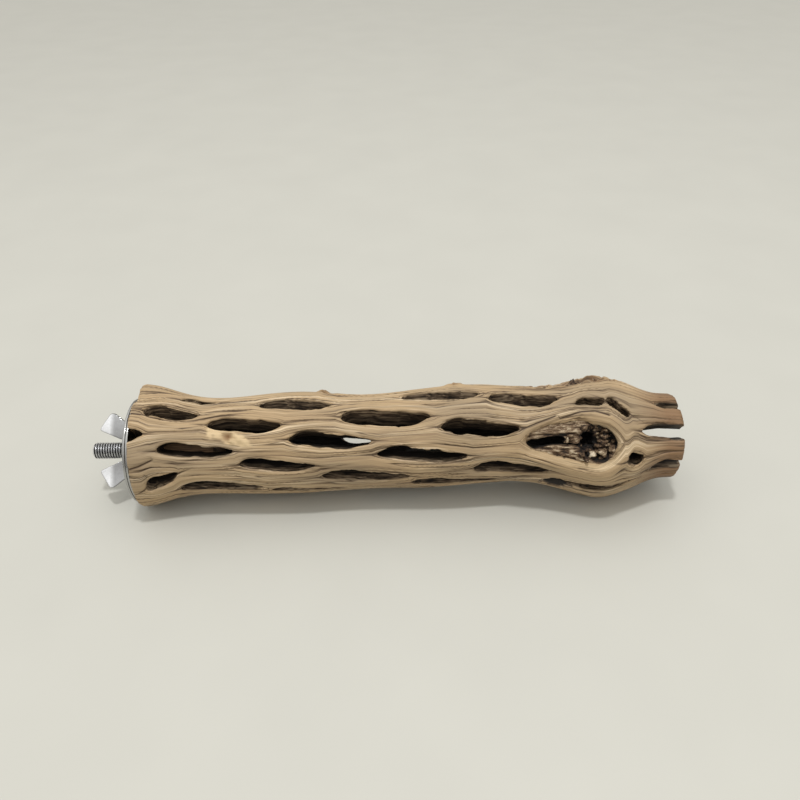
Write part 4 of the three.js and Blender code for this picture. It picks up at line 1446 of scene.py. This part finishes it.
def thread_tree(material):
    """Geometry Nodes: a threaded rod along X, from a grid that is rolled up, with closed ends.

    Its front end is chamfered, and its far end comes to a point over the length of the point.
    """
    sizes = ("Start", "Length", "Radius", "Pitch", "Depth", "Chamfer", "Point")
    tree, given, out = new_tree("threaded rod", dict.fromkeys(sizes, "NodeSocketFloat"))
    place = add(tree, "ShaderNodeSeparateXYZ", add(tree, "GeometryNodeInputPosition")).outputs
    parts = {name: given[name] for name in sizes} | {"grid x": place["X"], "grid y": place["Y"]}
    steps = (
        ("rows", "Math DIVIDE", "Length", "Pitch"),
        ("rows", "Math MULTIPLY", "rows", THREAD_SAMPLES),
        ("half", "Math MULTIPLY", "Length", 0.5),
        ("along", "Math ADD", "grid x", "half"),
        ("left", "Math SUBTRACT", "Length", "along"),
        ("share", "Math ADD", "grid y", 0.5),
        # Height over the root: a sawtooth of both flanks, with a narrow flat crest
        ("turns", "Math DIVIDE", "along", "Pitch"),
        ("turns", "Math ADD", "turns", "share"),
        ("flank", "Math PINGPONG", "turns", 0.5),
        ("flank", "MapRange", "flank", 0.04, 0.44, 1, 0),
        ("root", "Math MULTIPLY", "flank", "Depth"),
        ("chamfer", "Math SUBTRACT", "Chamfer", "along"),
        ("drop", "Math MAXIMUM", "root", "chamfer"),
        ("radius", "Math SUBTRACT", "Radius", "drop"),
        # The point at the far end, from 0 to 1, and the closed front
        ("point", "Math DIVIDE", "left", "Point"),
        ("point", "Math MINIMUM", "point", 1),
        ("point", "Math MAXIMUM", "point", 0),
        ("radius", "Math MULTIPLY", "radius", "point"),
        ("inside", "Math GREATER_THAN", "along", 1e-6),
        ("radius", "Math MULTIPLY", "radius", "inside"),
        # Rolled up round the bolt's line
        ("angle", "Math MULTIPLY", "share", FULL_TURN),
        ("cosine", "Math COSINE", "angle"),
        ("sine", "Math SINE", "angle"),
        ("back", "Math MULTIPLY", "radius", -1),
        ("x", "Math ADD", "along", "Start"),
        ("y", "Math MULTIPLY_ADD", "back", "cosine", BOLT_Y * MM),
        ("z", "Math MULTIPLY_ADD", "radius", "sine", BOLT_Z * MM),
        ("rolled", "CombineXYZ", "x", "y", "z"),
    )
    add_steps(tree, parts, steps)
    grid = add(
        tree,
        "GeometryNodeMeshGrid",
        {"Size X": given["Length"], "Size Y": 1, "Vertices X": parts["rows"], "Vertices Y": BOLT_SIDES + 1},
    )
    # Painted shade: the roots of the thread are marked, for the plate to darken them
    rooted = add(
        tree,
        "GeometryNodeStoreNamedAttribute",
        {"Geometry": grid, "Name": "root", "Value": parts["flank"]},
        data_type="FLOAT",
        domain="POINT",
    )
    moved = add(tree, "GeometryNodeSetPosition", {"Geometry": rooted, "Position": parts["rolled"]})
    closed = add(tree, "GeometryNodeMergeByDistance", {"Geometry": moved, "Distance": WELD})
    return end_tree(tree, closed, material, out)


def face_outwards(obj):
    """Merge doubles and turn every face outwards."""
    shape = bmesh.new()
    shape.from_mesh(obj.data)
    bmesh.ops.remove_doubles(shape, verts=shape.verts, dist=WELD)
    bmesh.ops.dissolve_degenerate(shape, edges=shape.edges, dist=WELD / 10)
    bmesh.ops.recalc_face_normals(shape, faces=shape.faces)
    shape.to_mesh(obj.data)
    shape.free()


def turned_mesh(name, profile, sides):
    """A turned ring or rod on the bolt's line, from (x, radius) pairs of a closed profile."""
    share = np.arange(sides) / sides * FULL_TURN
    points = np.concatenate(
        [
            np.stack([np.full(sides, x), BOLT_Y - r * np.cos(share), BOLT_Z + r * np.sin(share)], axis=1)
            for x, r in profile
        ]
    )
    count = len(profile)
    faces = []
    for n in range(count):
        for side in range(sides):
            beside = (side + 1) % sides
            after = (n + 1) % count
            faces.append((n * sides + side, n * sides + beside, after * sides + beside, after * sides + side))
    obj = new_object(name, points, faces)
    face_outwards(obj)
    return obj


def arc(centre_x, centre_r, radius, start, end, steps=5):
    """Places on a quarter-round edge, between two angles in degrees from +X towards +radius."""
    return [
        (centre_x + radius * math.cos(math.radians(a)), centre_r + radius * math.sin(math.radians(a)))
        for a in np.linspace(start, end, steps)
    ]


class CHOLLA_OT_bolt(bpy.types.Operator):
    """Make the hanger bolt with its two threads"""

    bl_idname = "cholla.bolt"
    bl_label = "Hanger bolt"

    def execute(self, context):
        settings = context.scene.cholla_perch.hardware
        plate = zinc_plate(settings.zinc, "zinc plate, rolled thread", scratch_mm=0.6, roughness=0.22)
        tree = thread_tree(plate)
        low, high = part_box("hanger_bolt")
        base = BASE_X * MM
        rows = (
            ("stud", low.x, base, settings.machine_pitch, MACHINE_DEPTH, BOLT_CHAMFER, BLUNT_POINT),
            ("screw", base, high.x, settings.wood_pitch, WOOD_DEPTH, WOOD_CHAMFER, BOLT_POINT),
        )
        for name, start, end, pitch, depth, chamfer, point in rows:
            rod = new_object(f"hanger_bolt_{name}", [(0, 0, 0)], [])
            values = {"Start": start, "Length": end - start, "Radius": settings.bolt_radius, "Pitch": pitch}
            values |= {"Depth": depth * MM, "Chamfer": chamfer * MM, "Point": point * MM}
            run_tree(rod, tree, values)
            face_outwards(rod)
            smooth(rod, sharpest=50)
            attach(rod, "perch")
            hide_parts("hanger_bolt")
        return {"FINISHED"}


class CHOLLA_OT_washers(bpy.types.Operator):
    """Make the two wide washers"""

    bl_idname = "cholla.washers"
    bl_label = "Washers"

    def execute(self, context):
        hardware = context.scene.cholla_perch.hardware
        material = zinc_plate(hardware.dull_zinc, "zinc plate, stamped", scratch_mm=1.5, roughness=0.2)
        edge = WASHER["edge"]
        for node, body in (("inner_washer", "perch"), ("outer_washer", "clamp_washer")):
            low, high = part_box(node)
            start, end = low.x / MM, high.x / MM
            outside = WASHER["radius"] - edge
            bore = WASHER["hole"] + edge
            profile = (
                arc(end - edge, outside, edge, 0, 90)
                + arc(start + edge, outside, edge, 90, 180)
                + arc(start + edge, bore, edge, 180, 270)
                + arc(end - edge, bore, edge, 270, 360)
            )
            washer = turned_mesh(f"{node}_plated", profile, WASHER["sides"])
            washer.data.materials.append(material)
            smooth(washer, sharpest=40)
            keep_in_box(washer, node)
            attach(washer, body)
            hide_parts(node)
        return {"FINISHED"}


def wing_outline():
    """One wing's outline, as distance out from the nut's foot and distance from the bolt."""

    def curve(start, control, end, steps=8):
        t = np.linspace(0, 1, steps)[:, None]
        start, control, end = (np.array(p) for p in (start, control, end))
        return (1 - t) ** 2 * start + 2 * t * (1 - t) * control + t**2 * end

    return np.concatenate(
        [
            curve((1.5, 5.6), (4, 12.5), (8.3, 14.8)),
            curve((11.3, 17.2), (13.5, 18.8), (14.7, 16.9)),
            curve((18.4, 11.2), (19.2, 9.8), (17.7, 9.2)),
            [(8.8, 5.2)],
        ]
    )


def wing_lines(turn):
    """Directions outward and across a wing at a turn about the bolt, as (y, z)."""
    return np.array([math.cos(turn), math.sin(turn)]), np.array([-math.sin(turn), math.cos(turn)])


def wing_mesh(name, foot_x, turn):
    """One wing as a plate that stands out from the nut, at a turn about the bolt."""
    outline = wing_outline()
    outward, across = wing_lines(turn)
    points = []
    for side in (-WING_THICKNESS / 2, WING_THICKNESS / 2):
        for out, away in outline:
            y, z = outward * away + across * side
            points.append((foot_x - out, BOLT_Y + y, BOLT_Z + z))
    count = len(outline)
    faces = [tuple(range(count)), tuple(range(2 * count - 1, count - 1, -1))]
    for n in range(count):
        after = (n + 1) % count
        faces.append((n, n + count, after + count, after))
    obj = new_object(name, points, faces)
    face_outwards(obj)
    return obj


def bend_wings(obj):
    """Bend the wings back, more the further they are from the bolt, each the other way."""
    places = get_places(obj)
    outward, across = wing_lines(WING_TURN)
    away = (places[:, 1:] / MM - (BOLT_Y, BOLT_Z)) @ outward
    past = np.maximum(np.abs(away) - WING_BEND["start"], 0)
    places[:, 1:] -= (np.sign(away) * WING_BEND["rate"] * past**2 * MM)[:, None] * across
    set_places(obj, places)


def paint_nut_reflections(obj, foot):
    """Mark where painted dark reflections darken the plate: about the hub and on the edges of the wings."""
    places = get_places(obj) / MM
    normals = np.array([vertex.normal for vertex in obj.data.vertices])
    away = np.hypot(places[:, 1] - BOLT_Y, places[:, 2] - BOLT_Z)
    facing = np.abs(normals[:, 1:] @ wing_lines(WING_TURN)[1])
    far, near = NUT_PAINTED_DARK["out"]
    root = NUT_PAINTED_DARK["root"] * ramp(places[:, 0], foot - far, foot - near)
    edge = NUT_PAINTED_DARK["edge"] * ramp(1 - facing, *NUT_PAINTED_DARK["facing"]) * ramp(away, *NUT_PAINTED_DARK["away"])
    set_attribute(obj, "root", "FLOAT", np.maximum(root, edge))


class CHOLLA_OT_wing_nut(bpy.types.Operator):
    """Make the wing nut as one cast piece with soft edges"""

    bl_idname = "cholla.wing_nut"
    bl_label = "Wing nut"

    def execute(self, context):
        hardware = context.scene.cholla_perch.hardware
        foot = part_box("wing_nut")[1].x / MM
        profile = [(foot - out, radius) for out, radius in NUT_PROFILE]
        nut = turned_mesh("wing_nut_cast", profile, NUT_SIDES)
        wings = [wing_mesh(f"wing_{n}", foot, WING_TURN + n * math.pi) for n in range(2)]
        with context.temp_override(active_object=nut, selected_editable_objects=[nut, *wings]):
            bpy.ops.object.join()
        remesh = nut.modifiers.new("cast", "REMESH")
        remesh.mode = "VOXEL"
        remesh.voxel_size = NUT_VOXEL * MM
        rounding = nut.modifiers.new("rounding", "SMOOTH")
        rounding.factor = NUT_ROUNDING["factor"]
        rounding.iterations = NUT_ROUNDING["iterations"]
        keep_modified(nut)
        plate = zinc_plate(hardware.zinc, "zinc plate, cast", scratch_mm=1.4, roughness=0.12, dents=0.5)
        nut.data.materials.clear()
        nut.data.materials.append(plate)
        bend_wings(nut)
        paint_nut_reflections(nut, foot)
        smooth(nut)
        keep_in_box(nut, "wing_nut")
        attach(nut, "wing_nut")
        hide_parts("wing_nut")
        return {"FINISHED"}


class CHOLLA_OT_plug(bpy.types.Operator):
    """Give the plug in the base its wood"""

    bl_idname = "cholla.plug"
    bl_label = "Base plug"

    def execute(self, context):
        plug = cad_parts["base_plug"]
        plug.data.materials.clear()
        plug.data.materials.append(turned_dowel())
        return {"FINISHED"}


# The stage

# The camera aims at a place along the stem, in millimetres, and its lens comes from the picture's size
CAMERA_ALONG = 123.7
CAMERA_LIFT = 19.4
CAMERA_ROLL = math.radians(1.07)
FOCAL_PIXELS = 770
IMAGE_PIXELS = 800
SENSOR_MM = 36
# Clip distances, floor and lamp, in metres
CLIP_START = 0.01
CLIP_END = 50
FLOOR_SIZE = 8.0
KEY_HEIGHT = 1.5
KEY_FORWARD = 0.2
KEY_SIZE = 0.13


class CHOLLA_OT_stage(bpy.types.Operator):
    """Set the camera, the floor and the light"""

    bl_idname = "cholla.stage"
    bl_label = "Stage"

    def execute(self, context):
        stage = context.scene.cholla_perch.stage
        scene = context.scene

        half = FLOOR_SIZE / 2 / MM
        corners = [(-half, -half, 0), (half, -half, 0), (half, half, 0), (-half, half, 0)]
        floor = new_object("table_top", corners, [(0, 1, 2, 3)])
        floor.data.materials.append(table_top(stage))

        forward = Vector((0, math.cos(stage.elevation), -math.sin(stage.elevation)))
        upward = Vector((0, math.sin(stage.elevation), math.cos(stage.elevation)))
        right = Vector((1, 0, 0))
        target = Vector((BASE_X + CAMERA_ALONG, AXIS_Y, AXIS_Z)) * MM
        rolled_right = right * math.cos(CAMERA_ROLL) - upward * math.sin(CAMERA_ROLL)
        rolled_up = upward * math.cos(CAMERA_ROLL) + right * math.sin(CAMERA_ROLL)
        turn = Matrix((rolled_right, rolled_up, -forward)).transposed().to_4x4()
        lens = bpy.data.cameras.new("camera")
        lens.sensor_width = SENSOR_MM
        lens.lens = SENSOR_MM * FOCAL_PIXELS / IMAGE_PIXELS
        lens.clip_start = CLIP_START
        lens.clip_end = CLIP_END
        camera = bpy.data.objects.new("camera", lens)
        place = target + upward * CAMERA_LIFT * MM - forward * stage.distance
        camera.matrix_world = Matrix.Translation(place) @ turn
        scene.collection.objects.link(camera)
        scene.camera = camera

        lamp = bpy.data.lights.new("soft lamp", "AREA")
        lamp.shape = "DISK"
        lamp.size = KEY_SIZE
        lamp.energy = stage.key_power
        lamp_object = bpy.data.objects.new("soft lamp", lamp)
        place = Vector((0, -KEY_FORWARD, KEY_HEIGHT))
        lamp_object.location = place
        lamp_object.rotation_euler = (-place).to_track_quat("-Z", "Y").to_euler()
        scene.collection.objects.link(lamp_object)

        world = scene.world or bpy.data.worlds.new("soft sky")
        scene.world = world
        world.use_nodes = True
        tree = world.node_tree
        height = add(tree, "ShaderNodeSeparateXYZ", add(tree, "ShaderNodeTexCoord").outputs["Generated"])
        glow = set_ramp(
            add(tree, "ShaderNodeValToRGB", height.outputs["Z"]),
            [(0.0, "#85827d"), (0.4, "#bfbdb8"), (0.85, "#fffefa")],
        )
        set_inputs(tree, tree.nodes["Background"], {"Color": glow, "Strength": stage.sky_strength})
        scene.view_settings.view_transform = "Standard"
        return {"FINISHED"}


PIECE_OPERATORS = (
    CHOLLA_OT_stage,
    CHOLLA_OT_stem,
    CHOLLA_OT_scars,
    CHOLLA_OT_plug,
    CHOLLA_OT_bolt,
    CHOLLA_OT_washers,
    CHOLLA_OT_wing_nut,
)


class CHOLLA_PT_perch(bpy.types.Panel):
    """Pieces and settings of the perch"""

    bl_label = "Cholla perch"
    bl_idname = "CHOLLA_PT_perch"
    bl_space_type = "VIEW_3D"
    bl_region_type = "UI"
    bl_category = "Cholla perch"

    def draw(self, context):
        settings = context.scene.cholla_perch
        for operator in PIECE_OPERATORS:
            self.layout.operator(operator.bl_idname)
        for group in (settings.wood, settings.pith, settings.hardware, settings.stage):
            box = self.layout.box()
            for name in group.__annotations__:
                box.prop(group, name)


CLASSES = (
    WoodSettings,
    PithSettings,
    HardwareSettings,
    StageSettings,
    PerchSettings,
    *PIECE_OPERATORS,
    CHOLLA_PT_perch,
)


def register():
    for kind in CLASSES:
        bpy.utils.register_class(kind)
    bpy.types.Scene.cholla_perch = PointerProperty(type=PerchSettings)


def unregister():
    del bpy.types.Scene.cholla_perch
    for kind in reversed(CLASSES):
        bpy.utils.unregister_class(kind)


def main():
    register()
    bpy.ops.cholla.stage()
    bpy.ops.cholla.stem()
    bpy.ops.cholla.scars()
    bpy.ops.cholla.plug()
    bpy.ops.cholla.bolt()
    bpy.ops.cholla.washers()
    bpy.ops.cholla.wing_nut()
    bpy.context.view_layer.update()


if __name__ == "__main__":
    main()
